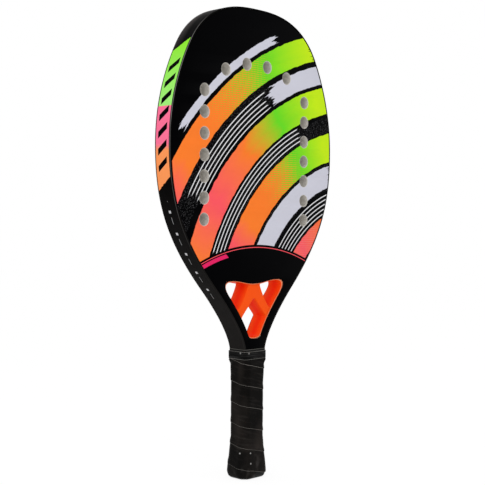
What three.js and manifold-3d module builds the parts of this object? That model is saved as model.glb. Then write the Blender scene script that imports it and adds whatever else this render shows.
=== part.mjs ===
// Beach tennis racket, 500 mm long, standing upright on its butt.
// Millimetres. +Z runs from the butt to the crown, the striking faces look along -Y and +Y,
// and the origin is the centre of the flat bottom of the butt cap.
//
// A hollow moulded tube makes the hoop, the two throat shafts and the two legs in the handle.
// A drilled foam core lies inside the hoop, with one laminated skin on each face.
// A bridge closes the hoop at the throat, and a coloured insert with an A-shaped brace lines the throat.
// The legs run down between two handle pallets, which carry the butt cap and the wound grip tape.

import * as THREE from 'three';
import { mergeVertices } from 'three/addons/utils/BufferGeometryUtils.js';
import Module from 'manifold-3d';

const wasm = await Module();
wasm.setup();

// Head and frame outline
const overallLength = 500;
const headWidth = 244.6;
const headWidestHeight = 352;
const crownTurnInset = 26.1;
const crownTurnDrop = 46;
const crownTurnSlope = 62.3;
const shoulderWidth = 115.4;
const shoulderHeight = 201.8;
const shaftLean = 42.8;
const neckWidth = 30.8;
const neckHeight = 134.2;
const legsWidth = 25.2;
const legsTaperRun = 14.2;
const legsEndHeight = 15;

// How far each curve of the outline leans on its end directions, as shares of its chord
const crownCurveShares = [0.23, 0.49];
const cheekCurveShares = [0.285, 0.395];
const flankCurveShares = [0.372, 0.428];
const shaftCurveShares = [0.353, 0.213];
const taperCurveShares = [0.35, 0.35];

// Frame tube section
const headThickness = 23.6;
const legsDepth = 19.6;
const tubeWidth = 10;
const tubeWall = 1.5;
const headEdgeRadius = 1.3;
const legsEdgeRadius = 5;
const innerEdgeRadius = 1.2;
const skinThickness = 1;
const skinSetback = 2.4;
const skinEndDrop = 1.5;

// Fits between neighbouring pieces
const fitGap = 0.3;
const inlayGap = 0.15;
const cutOverrun = 4;

// Drilled holes
const holeDiameter = 13;
const holeColumnInset = 46.3;
const holePitch = 21.85;
const holesPerColumn = 7;
const holeColumnDrop = 10.2;
const holeTopDrop = 60;
const archHoleShares = [
  { across: 0.61, up: 0.73 },
  { across: 0.205, up: 1 },
];

// Throat opening, its insert and the bridge above it
const throatTop = 212;
const throatRise = 15.3;
const throatCornerDrop = 18;
const throatCornerRun = 18;
const throatCentreDip = 3.7;
const throatHeelRise = 4;
const throatDipShares = [0.55, 0.4];
const bridgeWidth = 11;
const insertWall = 1.6;
const insertDepth = 20;
const braceTopWidth = 12.4;
const braceKneeInset = 1.5;
const braceApexDrop = 18.5;
const braceKneeDrop = 22;
const braceFootDrop = 32.5;
const braceHeelDrop = 41;

// Handle
const handleWidth = 30;
const handleDepth = 23.6;
const handleCornerCut = 4.8;
const handleRounding = 2.5;
const collarHeight = 13;
const collarRise = 2.8;
const collarWall = 0.6;
const collarCut = 1.5;
const collarRounding = 2.2;

// Butt cap and the eyelet of the wrist cord
const capHeight = 36;
const capFlare = 4.1;
const capLip = 0.8;
const capFloor = 4;
const capEdgeRadius = 4;
const capFlarePower = 1.15;
const capFullFlareHeight = 6;
const capEdgeShares = [0, 0.12, 0.3, 0.55, 1];
const capWallShares = [0, 0.2, 0.45, 0.7, 1];
const cordHoleDiameter = 9.6;
const eyeletBore = 7;
const eyeletFlangeWidth = 1.6;
const eyeletFlange = 1;

// Wound grip tape
const tapeWidth = 25.95;
const tapeThickness = 1.3;
const tapeEdge = 0.4;
const tapeLap = 3.6;
const tapeRamp = 2;
const tapeLapGap = 0.5;
const tapeEndGap = 1;
const tapeBottom = 2;
const tapeStepRun = 8;
const tapeTailWidth = 10;
const tapeStartTurnShare = 0.9;

// Finishing tape round the top of the grip
const bandWidth = 11;
const bandDrop = 5.5;
const bandThickness = 0.5;
const bandTurns = 1.5;
const bandSetDown = 2.4;

// Facets
const shaftSteps = 10;
const flankSteps = 10;
const cheekSteps = 7;
const crownSteps = 8;
const edgeSteps = 4;
const taperSteps = 3;
const holeSides = 16;
const stepsPerTurn = 24;

const halfTurn = Math.PI;
const headHalf = headWidth / 2;
const faceHalf = headThickness / 2;
const coreHalf = faceHalf - skinThickness;
const legsTopHeight = neckHeight - legsTaperRun;
const throatBottom = neckHeight + throatRise;
const collarTop = neckHeight + collarRise;
const collarBottom = collarTop - collarHeight;
const skinEnd = collarTop - skinEndDrop;
const palletsEnd = capFloor + 2 * fitGap;
const palletsTop = legsTopHeight - fitGap;
const tapeTop = collarBottom - tapeEndGap;
const bandTop = collarTop - bandSetDown;

// Outline of the right half, as curves from the crown down to the legs. x is width, y is height.
function bentCurve(start, startAngle, end, endAngle, [startShare, endShare]) {
  const chord = start.distanceTo(end);
  const startDirection = new THREE.Vector2(Math.cos(startAngle), Math.sin(startAngle));
  const endDirection = new THREE.Vector2(Math.cos(endAngle), Math.sin(endAngle));
  const startHandle = start.clone().addScaledVector(startDirection, chord * startShare);
  const endHandle = end.clone().addScaledVector(endDirection, -chord * endShare);
  return new THREE.CubicBezierCurve(start, startHandle, endHandle, end);
}

function outlineCurves() {
  const down = -halfTurn / 2;
  const crownAngle = THREE.MathUtils.degToRad(-crownTurnSlope);
  const shaftAngle = down - THREE.MathUtils.degToRad(shaftLean);
  const crown = new THREE.Vector2(0, overallLength);
  const turn = new THREE.Vector2(headHalf - crownTurnInset, overallLength - crownTurnDrop);
  const widest = new THREE.Vector2(headHalf, headWidestHeight);
  const shoulder = new THREE.Vector2(shoulderWidth / 2, shoulderHeight);
  const neck = new THREE.Vector2(neckWidth / 2, neckHeight);
  const legsTop = new THREE.Vector2(legsWidth / 2, legsTopHeight);
  const legsEnd = new THREE.Vector2(legsWidth / 2, legsEndHeight);
  return [
    { curve: bentCurve(crown, 0, turn, crownAngle, crownCurveShares), steps: crownSteps },
    { curve: bentCurve(turn, crownAngle, widest, down, cheekCurveShares), steps: cheekSteps },
    { curve: bentCurve(widest, down, shoulder, shaftAngle, flankCurveShares), steps: flankSteps },
    { curve: bentCurve(shoulder, shaftAngle, neck, down, shaftCurveShares), steps: shaftSteps },
    { curve: bentCurve(neck, down, legsTop, down, taperCurveShares), steps: taperSteps },
    { curve: new THREE.LineCurve(legsTop, legsEnd), steps: 1 },
  ];
}

// Stations down the right half: the point on the outline and the direction into the racket.
function outlineStations(fineness = 1) {
  const stations = [];
  for (const { curve, steps } of outlineCurves()) {
    const count = steps * fineness;
    for (let i = stations.length ? 1 : 0; i <= count; i += 1) {
      const tangent = curve.getTangent(i / count);
      stations.push({ point: curve.getPoint(i / count), inward: new THREE.Vector2(tangent.y, -tangent.x) });
    }
  }
  return stations;
}

const rightStations = outlineStations();
const fineStations = outlineStations(8);

function insetPoint(station, inset) {
  return station.point.clone().addScaledVector(station.inward, inset);
}

function mirrored(point) {
  return new THREE.Vector2(-point.x, point.y);
}

// Half width of the outline, moved inwards by an inset, at a height.
function sideAt(height, inset) {
  for (let i = 1; i < fineStations.length; i += 1) {
    const above = insetPoint(fineStations[i - 1], inset);
    const below = insetPoint(fineStations[i], inset);
    if (below.y <= height && above.y >= height) {
      const share = (height - below.y) / (above.y - below.y);
      return below.x + (above.x - below.x) * share;
    }
  }
  return insetPoint(fineStations[fineStations.length - 1], inset).x;
}

function sidePoint(height, inset) {
  return new THREE.Vector2(sideAt(height, inset), height);
}

// Solids: three.js geometry goes to manifold-3d for a cut or a join and comes back.
function solidOf(geometry) {
  const bare = geometry.clone();
  bare.deleteAttribute('normal');
  bare.deleteAttribute('uv');
  const merged = mergeVertices(bare);
  const mesh = new wasm.Mesh({
    numProp: 3,
    vertProperties: new Float32Array(merged.attributes.position.array),
    triVerts: new Uint32Array(merged.index.array),
  });
  return new wasm.Manifold(mesh);
}

function geometryOf(solid) {
  const mesh = solid.getMesh();
  const geometry = new THREE.BufferGeometry();
  geometry.setAttribute('position', new THREE.BufferAttribute(new Float32Array(mesh.vertProperties), 3));
  geometry.setIndex(new THREE.BufferAttribute(new Uint32Array(mesh.triVerts), 1));
  geometry.computeVertexNormals();
  return geometry;
}

// A flat plate in the plane of the face, from the front height along Y to the back one.
function plate(shape, front, back) {
  const geometry = new THREE.ExtrudeGeometry(shape, { depth: back - front, bevelEnabled: false });
  const upright = new THREE.Matrix4().set(1, 0, 0, 0, 0, 0, -1, back, 0, 1, 0, 0, 0, 0, 0, 1);
  return geometry.applyMatrix4(upright);
}

function slab(shape, halfDepth) {
  return solidOf(plate(shape, -halfDepth, halfDepth));
}

// A closed outline that follows the frame at an inset, above a level.
function headShape(inset, bottom) {
  const right = rightStations.map((station) => insetPoint(station, inset)).filter((p) => p.y > bottom);
  right.push(sidePoint(bottom, inset));
  right[0].x = 0;
  const left = right.slice(1).map(mirrored);
  return new THREE.Shape([...right.reverse(), ...left]);
}

// Section of the frame tube. u runs inwards from the outer side, v along Y.
function tubeSection({ halfDepth, edgeRadius }) {
  const front = [];
  for (let i = 0; i <= edgeSteps; i += 1) {
    const angle = (i / edgeSteps) * (halfTurn / 2);
    const u = edgeRadius * (1 - Math.cos(angle));
    front.push([u, -(halfDepth - edgeRadius) - edgeRadius * Math.sin(angle)]);
  }
  const rim = Math.max(skinSetback - fitGap, edgeRadius + fitGap);
  front.push([rim, -halfDepth]);
  front.push([rim, -(halfDepth - skinThickness)]);
  front.push([tubeWidth - innerEdgeRadius, -(halfDepth - skinThickness)]);
  front.push([tubeWidth, -(halfDepth - skinThickness - innerEdgeRadius)]);
  const back = front.map(([u, v]) => [u, -v]).reverse();
  return [...front, ...back];
}

function boreSection({ halfDepth, edgeRadius }) {
  const near = tubeWall;
  const far = tubeWidth - tubeWall;
  const high = halfDepth - skinThickness - tubeWall;
  const corner = Math.max(edgeRadius - tubeWall, tubeWall);
  const front = [[near, -high + corner], [near + corner, -high], [far - innerEdgeRadius, -high],
    [far, -high + innerEdgeRadius]];
  const back = front.map(([u, v]) => [u, -v]).reverse();
  return [...front, ...back];
}

// The tube is deep and crisp round the head, and thins to soft-edged legs below the neck.
function tubeSizes(height) {
  const share = THREE.MathUtils.smoothstep(height, legsTopHeight, neckHeight);
  return {
    halfDepth: THREE.MathUtils.lerp(legsDepth / 2, faceHalf, share),
    edgeRadius: THREE.MathUtils.lerp(legsEdgeRadius, headEdgeRadius, share),
  };
}

// Rings of points are joined by quads. Ends are closed by the given triangles of ring indices.
function loft(rings, endTriangles) {
  const count = rings[0].length;
  const positions = rings.flat().flatMap((p) => [p.x, p.y, p.z]);
  const index = [];
  for (let r = 0; r + 1 < rings.length; r += 1) {
    for (let k = 0; k < count; k += 1) {
      const a = r * count + k;
      const b = r * count + ((k + 1) % count);
      index.push(a, b, b + count, a, b + count, a + count);
    }
  }
  const last = (rings.length - 1) * count;
  for (const [a, b, c] of endTriangles) {
    index.push(a, c, b);
    index.push(last + a, last + b, last + c);
  }
  const geometry = new THREE.BufferGeometry();
  geometry.setAttribute('position', new THREE.Float32BufferAttribute(positions, 3));
  geometry.setIndex(index);
  return geometry;
}

// Turns every triangle over if the closed geometry came out with its faces pointing in.
function facingOut(geometry) {
  const p = geometry.attributes.position;
  const index = Array.from(geometry.index.array);
  const [a, b, c] = [new THREE.Vector3(), new THREE.Vector3(), new THREE.Vector3()];
  let volume = 0;
  for (let i = 0; i < index.length; i += 3) {
    a.fromBufferAttribute(p, index[i]);
    b.fromBufferAttribute(p, index[i + 1]);
    c.fromBufferAttribute(p, index[i + 2]);
    volume += a.dot(b.cross(c));
  }
  if (volume < 0) {
    for (let i = 0; i < index.length; i += 3) {
      [index[i + 1], index[i + 2]] = [index[i + 2], index[i + 1]];
    }
    geometry.setIndex(index);
  }
  geometry.computeVertexNormals();
  return geometry;
}

function sectionTriangles(section) {
  return THREE.ShapeUtils.triangulateShape(section.map(([u, v]) => new THREE.Vector2(u, v)), []);
}

// A section carried round the frame from the right leg over the crown to the left leg.
function frameSweep(sectionAt, overrun) {
  const rings = [];
  const place = (station, side) => {
    const ring = sectionAt(tubeSizes(station.point.y)).map(([u, v]) => {
      const flat = insetPoint(station, u);
      return new THREE.Vector3(side * flat.x, v, flat.y);
    });
    rings.push(ring);
  };
  const right = [...rightStations].reverse();
  const legEnd = { point: right[0].point.clone(), inward: right[0].inward };
  legEnd.point.y -= overrun;
  right[0] = legEnd;
  right.forEach((station) => place(station, 1));
  right.slice(0, -1).reverse().forEach((station) => place(station, -1));
  return facingOut(loft(rings, sectionTriangles(sectionAt(tubeSizes(legsEndHeight)))));
}

function frameTube() {
  const outside = solidOf(frameSweep(tubeSection, 0));
  const bore = solidOf(frameSweep(boreSection, cutOverrun));
  return geometryOf(outside.subtract(bore));
}

// Throat opening. A positive inset draws the whole outline in, a negative one lets it out.
function throatShape(inset) {
  const side = tubeWidth + fitGap + inset;
  const top = throatTop - inset;
  const bottom = throatBottom + inset;
  const corner = sidePoint(top, side);
  const cornerStart = sidePoint(top - throatCornerDrop, side);
  const topEnd = new THREE.Vector2(corner.x - throatCornerRun, top);
  const heel = sidePoint(bottom, side);
  const heelEnd = sidePoint(bottom + throatHeelRise, side);
  const dip = new THREE.Vector2(0, top - throatCentreDip);
  const dipStart = new THREE.Vector2(topEnd.x * throatDipShares[0], top);
  const dipEnd = new THREE.Vector2(topEnd.x * throatDipShares[1], dip.y);
  const right = [
    ...new THREE.CubicBezierCurve(dip, dipEnd, dipStart, topEnd).getPoints(6),
    ...new THREE.QuadraticBezierCurve(topEnd, corner, cornerStart).getPoints(6).slice(1),
  ];
  for (let i = 1; i < 6; i += 1) {
    right.push(sidePoint(cornerStart.y + (heelEnd.y - cornerStart.y) * (i / 6), side));
  }
  const bottomMiddle = new THREE.Vector2(0, bottom);
  right.push(...new THREE.QuadraticBezierCurve(heelEnd, heel, bottomMiddle).getPoints(4));
  const left = right.slice(1, -1).reverse().map(mirrored);
  return new THREE.Shape([...right, ...left]);
}

// Two upright columns of holes, with their middle a little below the widest level of the head,
// joined over the top by an arch.
function holeCentres() {
  const column = headHalf - holeColumnInset;
  const columnHeight = (holesPerColumn - 1) * holePitch;
  const bottom = headWidestHeight - holeColumnDrop - columnHeight / 2;
  const top = bottom + columnHeight;
  const rise = overallLength - holeTopDrop - top;
  const right = [];
  for (let i = 0; i < holesPerColumn; i += 1) {
    right.push(new THREE.Vector2(column, bottom + i * holePitch));
  }
  for (const { across, up } of archHoleShares) {
    right.push(new THREE.Vector2(column * across, top + rise * up));
  }
  return [...right, ...right.map(mirrored)];
}

function holePath(centre, diameter) {
  const points = [];
  for (let i = 0; i < holeSides; i += 1) {
    const angle = -(i / holeSides) * 2 * halfTurn;
    points.push(new THREE.Vector2(Math.cos(angle), Math.sin(angle)).multiplyScalar(diameter / 2).add(centre));
  }
  return new THREE.Path(points);
}

function skin(front, back) {
  const shape = headShape(skinSetback, skinEnd);
  shape.holes = holeCentres().map((centre) => holePath(centre, holeDiameter));
  shape.holes.push(new THREE.Path(throatShape(-inlayGap).getPoints()));
  return plate(shape, front, back);
}

// The curve of the bridge's upper side, closed far above it, used to part the core from the bridge.
function aboveBridge(gap) {
  const side = tubeWidth + fitGap;
  const level = throatTop + bridgeWidth + gap;
  const reach = headHalf + cutOverrun;
  const topEnd = sideAt(throatTop, side) - throatCornerRun;
  const dip = new THREE.Vector2(0, level - throatCentreDip);
  const end = new THREE.Vector2(topEnd, level);
  const dipEnd = new THREE.Vector2(topEnd * throatDipShares[1], dip.y);
  const dipStart = new THREE.Vector2(topEnd * throatDipShares[0], level);
  const right = new THREE.CubicBezierCurve(dip, dipEnd, dipStart, end).getPoints(6);
  right.push(new THREE.Vector2(reach, level), new THREE.Vector2(reach, overallLength + cutOverrun));
  const left = right.slice(1).reverse().map(mirrored);
  return new THREE.Shape([...right, ...left]);
}

function coreFoam() {
  const inside = slab(headShape(tubeWidth + fitGap, throatTop), coreHalf);
  const drills = holeCentres().map((centre) => {
    const drill = new THREE.CylinderGeometry(holeDiameter / 2, holeDiameter / 2, headThickness, holeSides);
    return solidOf(drill.translate(centre.x, 0, centre.y));
  });
  let core = inside.intersect(slab(aboveBridge(fitGap), headThickness));
  for (const drill of drills) {
    core = core.subtract(drill);
  }
  return geometryOf(core);
}

function throatBridge() {
  const inside = slab(headShape(tubeWidth + fitGap, throatTop - throatCornerDrop), coreHalf);
  const opening = slab(throatShape(-fitGap), headThickness);
  return geometryOf(inside.subtract(opening).subtract(slab(aboveBridge(0), headThickness)));
}

function neckBlock() {
  const inside = slab(headShape(tubeWidth + fitGap, legsTopHeight), coreHalf);
  const opening = slab(throatShape(-fitGap), headThickness);
  const above = new THREE.BoxGeometry(headWidth, headThickness, overallLength);
  above.translate(0, 0, throatBottom + throatHeelRise + overallLength / 2);
  return geometryOf(inside.subtract(opening).subtract(solidOf(above)));
}

// The brace in the throat: an A-shape whose legs spread from the bridge to the sides.
function braceShape() {
  const side = tubeWidth + fitGap;
  const top = new THREE.Vector2(braceTopWidth / 2, throatTop + insertWall);
  const foot = sidePoint(throatTop - braceFootDrop, side);
  const heel = sidePoint(throatTop - braceHeelDrop, side);
  const knee = new THREE.Vector2((top.x + foot.x) / 2 - braceKneeInset, throatTop - braceKneeDrop);
  const apex = new THREE.Vector2(0, throatTop - braceApexDrop);
  const right = [...new THREE.QuadraticBezierCurve(top, knee, foot).getPoints(6), heel, apex];
  const left = right.slice(0, -1).reverse().map(mirrored);
  return new THREE.Shape([...right, ...left]);
}

function throatInsert() {
  const outside = slab(throatShape(0), insertDepth / 2);
  const liner = outside.subtract(slab(throatShape(insertWall), headThickness));
  const brace = slab(braceShape(), insertDepth / 2).intersect(outside);
  return geometryOf(liner.add(brace));
}

// Handle section: an octagon with rounded corners, as 24 points that move out along their normals.
function octagonRing({ halfWidth, halfDepth, cut, rounding }, offset, height) {
  const innerCut = cut - rounding * (2 - Math.SQRT2);
  const x = halfWidth - rounding;
  const y = halfDepth - rounding;
  const corners = [[x, y - innerCut], [x - innerCut, y], [innerCut - x, y], [-x, y - innerCut],
    [-x, innerCut - y], [innerCut - x, -y], [x - innerCut, -y], [x, innerCut - y]];
  const ring = [];
  corners.forEach(([cx, cy], k) => {
    for (let i = 0; i < 3; i += 1) {
      const angle = (k + i / 2) * (halfTurn / 4);
      const reach = rounding + offset;
      ring.push(new THREE.Vector3(cx + reach * Math.cos(angle), cy + reach * Math.sin(angle), height));
    }
  });
  return ring;
}

const handleSection = {
  halfWidth: handleWidth / 2,
  halfDepth: handleDepth / 2,
  cut: handleCornerCut,
  rounding: handleRounding,
};

// Offset of the butt cap's outside from the handle section, at a height. Above the cap it runs out
// over a short way, because the grip tape bridges the cap's upper edge.
function capOffset(height) {
  if (height >= capHeight) {
    return capLip * Math.max(1 - (height - capHeight) / tapeStepRun, 0);
  }
  const share = Math.min((capHeight - height) / (capHeight - capFullFlareHeight), 1);
  const flare = capLip + (capFlare - capLip) * share ** capFlarePower;
  const under = Math.max(capEdgeRadius - height, 0);
  return flare - (capEdgeRadius - Math.sqrt(capEdgeRadius ** 2 - under ** 2));
}

const ringFan = Array.from({ length: stepsPerTurn - 2 }, (unused, k) => [0, k + 1, k + 2]);

function octagonLoft(levels, section = handleSection) {
  const rings = levels.map(([height, offset]) => octagonRing(section, offset, height));
  return facingOut(loft(rings, ringFan));
}

function roundedBar(halfWidth, halfDepth, radius, bottom, top) {
  const shape = new THREE.Shape();
  shape.moveTo(halfWidth, -(halfDepth - radius));
  shape.lineTo(halfWidth, halfDepth - radius);
  shape.absarc(halfWidth - radius, halfDepth - radius, radius, 0, halfTurn / 2, false);
  shape.absarc(-(halfWidth - radius), halfDepth - radius, radius, halfTurn / 2, halfTurn, false);
  shape.absarc(-(halfWidth - radius), -(halfDepth - radius), radius, halfTurn, 1.5 * halfTurn, false);
  shape.absarc(halfWidth - radius, -(halfDepth - radius), radius, 1.5 * halfTurn, 2 * halfTurn, false);
  const bar = new THREE.ExtrudeGeometry(shape, { depth: top - bottom, bevelEnabled: false, curveSegments: 4 });
  return bar.translate(0, 0, bottom);
}

function handleCore() {
  const halfWidth = legsWidth / 2 - tubeWidth - fitGap;
  return roundedBar(halfWidth, legsDepth / 2, halfWidth / 2, legsEndHeight, palletsTop);
}

function pallet(side) {
  const outside = solidOf(octagonLoft([[palletsEnd, 0], [palletsTop, 0]]));
  const bore = roundedBar(legsWidth / 2 + fitGap, legsDepth / 2 + fitGap, legsEdgeRadius + fitGap,
    palletsEnd - cutOverrun, palletsTop + cutOverrun);
  const half = new THREE.BoxGeometry(handleWidth, handleWidth + handleDepth, overallLength);
  half.translate((side * (handleWidth + fitGap)) / 2, 0, overallLength / 2);
  return geometryOf(outside.subtract(solidOf(bore)).intersect(solidOf(half)));
}

function buttCap() {
  const levels = [];
  for (const share of capEdgeShares) {
    levels.push([capEdgeRadius * share, capOffset(capEdgeRadius * share)]);
  }
  for (const share of capWallShares) {
    const height = capFullFlareHeight + (capHeight - capFullFlareHeight) * share;
    levels.push([height, capOffset(height)]);
  }
  const cavity = [[capFloor, fitGap], [capHeight + cutOverrun, fitGap]];
  const reach = 2 * (capFloor + cutOverrun);
  const drill = new THREE.CylinderGeometry(cordHoleDiameter / 2, cordHoleDiameter / 2, reach, holeSides);
  const cup = solidOf(octagonLoft(levels)).subtract(solidOf(octagonLoft(cavity)));
  return geometryOf(cup.subtract(solidOf(drill.rotateX(halfTurn / 2))));
}

function cordEyelet() {
  const bore = eyeletBore / 2;
  const barrel = cordHoleDiameter / 2 - fitGap;
  const flange = barrel + fitGap + eyeletFlangeWidth;
  const top = capFloor + fitGap + eyeletFlange;
  const seat = capFloor + fitGap;
  const profile = [[bore, 0], [barrel, 0], [barrel, seat], [flange, seat], [flange, top], [bore, top], [bore, 0]];
  const turned = new THREE.LatheGeometry(profile.map(([r, z]) => new THREE.Vector2(r, z)), holeSides);
  return turned.rotateX(halfTurn / 2);
}

const collarSection = {
  halfWidth: sideAt(collarTop, 0) + fitGap + collarWall,
  halfDepth: faceHalf + fitGap + collarWall,
  cut: collarCut,
  rounding: collarRounding,
};

function gripCollar() {
  const edge = collarWall / 2;
  const outside = octagonLoft([[collarBottom, 0], [collarTop - edge, 0], [collarTop, -edge]], collarSection);
  const bore = roundedBar(sideAt(collarTop, 0) + fitGap, faceHalf + fitGap, headEdgeRadius + fitGap,
    collarBottom - cutOverrun, collarTop + cutOverrun);
  return geometryOf(solidOf(outside).subtract(solidOf(bore)));
}

// Share of the way round the handle at which each of the 24 points lies.
function turnShares(ring) {
  const shares = [0];
  for (let k = 0; k < ring.length; k += 1) {
    shares.push(shares[k] + ring[k].distanceTo(ring[(k + 1) % ring.length]));
  }
  return shares.map((length) => length / shares[ring.length]);
}

// A strip wound clockwise up the handle, seen from above. profile(turn) gives its section as
// [height, offset] points, and pointAt(k, offset, height) a place beside the k-th point of the handle.
function woundStrip(firstTurn, lastTurn, shares, profile, pointAt) {
  const rings = [];
  for (let step = 0; step <= (lastTurn + 1) * stepsPerTurn; step += 1) {
    const k = (stepsPerTurn - (step % stepsPerTurn)) % stepsPerTurn;
    const turn = Math.floor(step / stepsPerTurn) + (k === 0 ? 0 : 1 - shares[k]);
    if (turn >= firstTurn && turn <= lastTurn) {
      rings.push(profile(turn).map(([height, offset]) => pointAt(k, offset, height)));
    }
  }
  return { geometry: facingOut(loft(rings, sectionTriangles(profile(lastTurn)))), rings };
}

// Section of the tape: its lower edge rides over the skived upper edge of the turn below it, as far
// as the lift says, from 0 where there is no turn below to 1.
function tapeProfile(lower, upper, lift) {
  const lapped = lower + tapeLap;
  const seated = lapped + tapeRamp;
  const skived = upper - tapeLap;
  const middle = (seated + skived) / 2;
  return [
    [lower, (tapeThickness + tapeLapGap) * lift],
    [lapped, (tapeEdge + tapeLapGap) * lift],
    [seated, 0],
    [middle, 0],
    [upper, 0],
    [upper, tapeEdge],
    [skived, tapeThickness],
    [middle, tapeThickness],
    [seated, tapeThickness],
    [lower, (tapeThickness + tapeLapGap) * lift + tapeEdge],
  ];
}

function gripTape() {
  const ring = octagonRing(handleSection, fitGap, 0);
  const shares = turnShares(ring);
  const pitch = tapeWidth - tapeLap;
  const start = tapeBottom - tapeWidth - tapeStartTurnShare * pitch;
  const profile = (turn) => {
    const lower = start + turn * pitch;
    const lift = THREE.MathUtils.clamp((lower - tapeBottom) / (tapeTailWidth - tapeLap), 0, 1);
    return tapeProfile(Math.max(lower, tapeBottom), Math.min(lower + tapeWidth, tapeTop), lift);
  };
  const firstTurn = (tapeBottom + tapeTailWidth - tapeWidth - start) / pitch;
  const lastTurn = (tapeTop - tapeTailWidth - start) / pitch;
  const pointAt = (k, offset, height) => {
    const reach = fitGap + offset + capOffset(height);
    return octagonRing(handleSection, reach, height)[k];
  };
  return woundStrip(firstTurn, lastTurn, shares, profile, pointAt);
}

// Least distance between points of the strip that lie more than half a turn apart along it.
function leastSelfGap(rings) {
  let least = Infinity;
  const along = (ring, share) => ring.flatMap((p, k) => [p, p.clone().lerp(ring[(k + 1) % ring.length], share)]);
  const dense = rings.map((ring) => along(ring, 1 / 2));
  for (let i = 0; i < dense.length; i += 1) {
    for (let j = i + stepsPerTurn / 2; j < dense.length; j += 1) {
      for (const p of dense[i]) {
        for (const q of dense[j]) {
          least = Math.min(least, p.distanceTo(q));
        }
      }
    }
  }
  return least;
}

function finishingTape() {
  const shares = turnShares(octagonRing(collarSection, 0, 0));
  const riseStart = bandTurns - 1;
  const profile = (turn) => {
    const upper = bandTop - bandDrop * (turn / bandTurns);
    const lower = upper - bandWidth;
    const lifted = THREE.MathUtils.smoothstep(turn, riseStart, 1) * (bandThickness + tapeLapGap);
    return [[lower, lifted], [upper, lifted], [upper, lifted + bandThickness], [lower, lifted + bandThickness]];
  };
  const pointAt = (k, offset, height) => octagonRing(collarSection, fitGap + offset, height)[k];
  return woundStrip(0, bandTurns, shares, profile, pointAt);
}

function piece(name, geometry, colour, roughness, metalness = 0) {
  const mesh = new THREE.Mesh(geometry, new THREE.MeshStandardMaterial({ color: colour, roughness, metalness }));
  mesh.name = name;
  return mesh;
}

const tape = gripTape();
const band = finishingTape();
console.log(`grip tape: ${tape.rings.length} steps, least gap to itself ${leastSelfGap(tape.rings).toFixed(3)} mm`);
console.log(`finishing tape: least gap to itself ${leastSelfGap(band.rings).toFixed(3)} mm`);

const racket = new THREE.Group();
racket.name = 'beach_tennis_racket';

const head = new THREE.Group();
head.add(
  piece('frame_tube', frameTube(), 0x141414, 0.3),
  piece('core_foam', coreFoam(), 0x8a8a8a, 0.9),
  piece('front_skin', skin(-faceHalf, -coreHalf), 0x0c0c0c, 0.25),
  piece('back_skin', skin(coreHalf, faceHalf), 0x0c0c0c, 0.25),
  piece('throat_bridge', throatBridge(), 0x1a1a1a, 0.6),
  piece('throat_insert', throatInsert(), 0xff5a14, 0.4),
  piece('neck_block', neckBlock(), 0x5a5a5a, 0.9),
);

const handle = new THREE.Group();
handle.add(
  piece('handle_core', handleCore(), 0x9a9a90, 0.95),
  piece('left_pallet', pallet(-1), 0x2a2a2a, 0.6),
  piece('right_pallet', pallet(1), 0x2a2a2a, 0.6),
  piece('butt_cap', buttCap(), 0x101010, 0.5),
  piece('cord_eyelet', cordEyelet(), 0x202020, 0.4),
  piece('grip_collar', gripCollar(), 0x121212, 0.7),
  piece('grip_tape', tape.geometry, 0x161616, 0.45),
  piece('finishing_tape', band.geometry, 0x101010, 0.4),
);

racket.add(head, handle);

export default racket;
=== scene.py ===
"""Beach tennis racket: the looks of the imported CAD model.

Lengths are in metres, and in millimetres where a docstring or a comment says so. They are in the
frame of the CAD model: the racket stands on its butt at the origin, +Z runs up to the crown, and the
front striking face looks along -Y.
"""

import math

import bmesh
import bpy
import numpy as np
from bpy.props import FloatProperty, FloatVectorProperty, IntProperty, PointerProperty
from mathutils import Matrix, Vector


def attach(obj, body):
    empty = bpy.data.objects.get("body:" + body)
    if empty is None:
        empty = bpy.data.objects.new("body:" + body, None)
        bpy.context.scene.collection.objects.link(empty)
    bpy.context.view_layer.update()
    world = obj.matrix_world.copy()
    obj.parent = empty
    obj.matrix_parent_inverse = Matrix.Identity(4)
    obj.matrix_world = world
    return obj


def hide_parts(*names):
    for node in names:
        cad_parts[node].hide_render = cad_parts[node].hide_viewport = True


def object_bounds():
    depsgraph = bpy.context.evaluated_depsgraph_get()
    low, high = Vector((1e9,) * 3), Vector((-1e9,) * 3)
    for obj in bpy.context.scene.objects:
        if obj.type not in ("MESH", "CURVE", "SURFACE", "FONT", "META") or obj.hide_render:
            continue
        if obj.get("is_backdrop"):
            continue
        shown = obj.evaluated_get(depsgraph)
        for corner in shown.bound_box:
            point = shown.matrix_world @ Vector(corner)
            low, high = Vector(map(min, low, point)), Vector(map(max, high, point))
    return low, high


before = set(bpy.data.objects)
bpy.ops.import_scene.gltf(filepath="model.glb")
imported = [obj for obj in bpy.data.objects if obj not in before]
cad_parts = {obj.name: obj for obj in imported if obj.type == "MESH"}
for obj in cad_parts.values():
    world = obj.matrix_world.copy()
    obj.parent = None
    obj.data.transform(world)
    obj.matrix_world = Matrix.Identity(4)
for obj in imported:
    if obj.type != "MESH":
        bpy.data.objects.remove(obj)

bl_info = {
    "name": "Beach Tennis Racket",
    "version": (1, 0, 0),
    "blender": (4, 5, 0),
    "location": "3D View > Sidebar > Racket",
    "description": "Printed faces, laminated frame, throat moulding and wound grip of a beach tennis racket",
    "category": "Object",
}

CAD_LOW, CAD_HIGH = (list(corner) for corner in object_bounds())
RACKET_HEIGHT = CAD_HIGH[2] - CAD_LOW[2]
MM = 0.001
IN_MM = 1000.0  # a metre in millimetres, for the finishes
BODY = "root"

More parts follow.
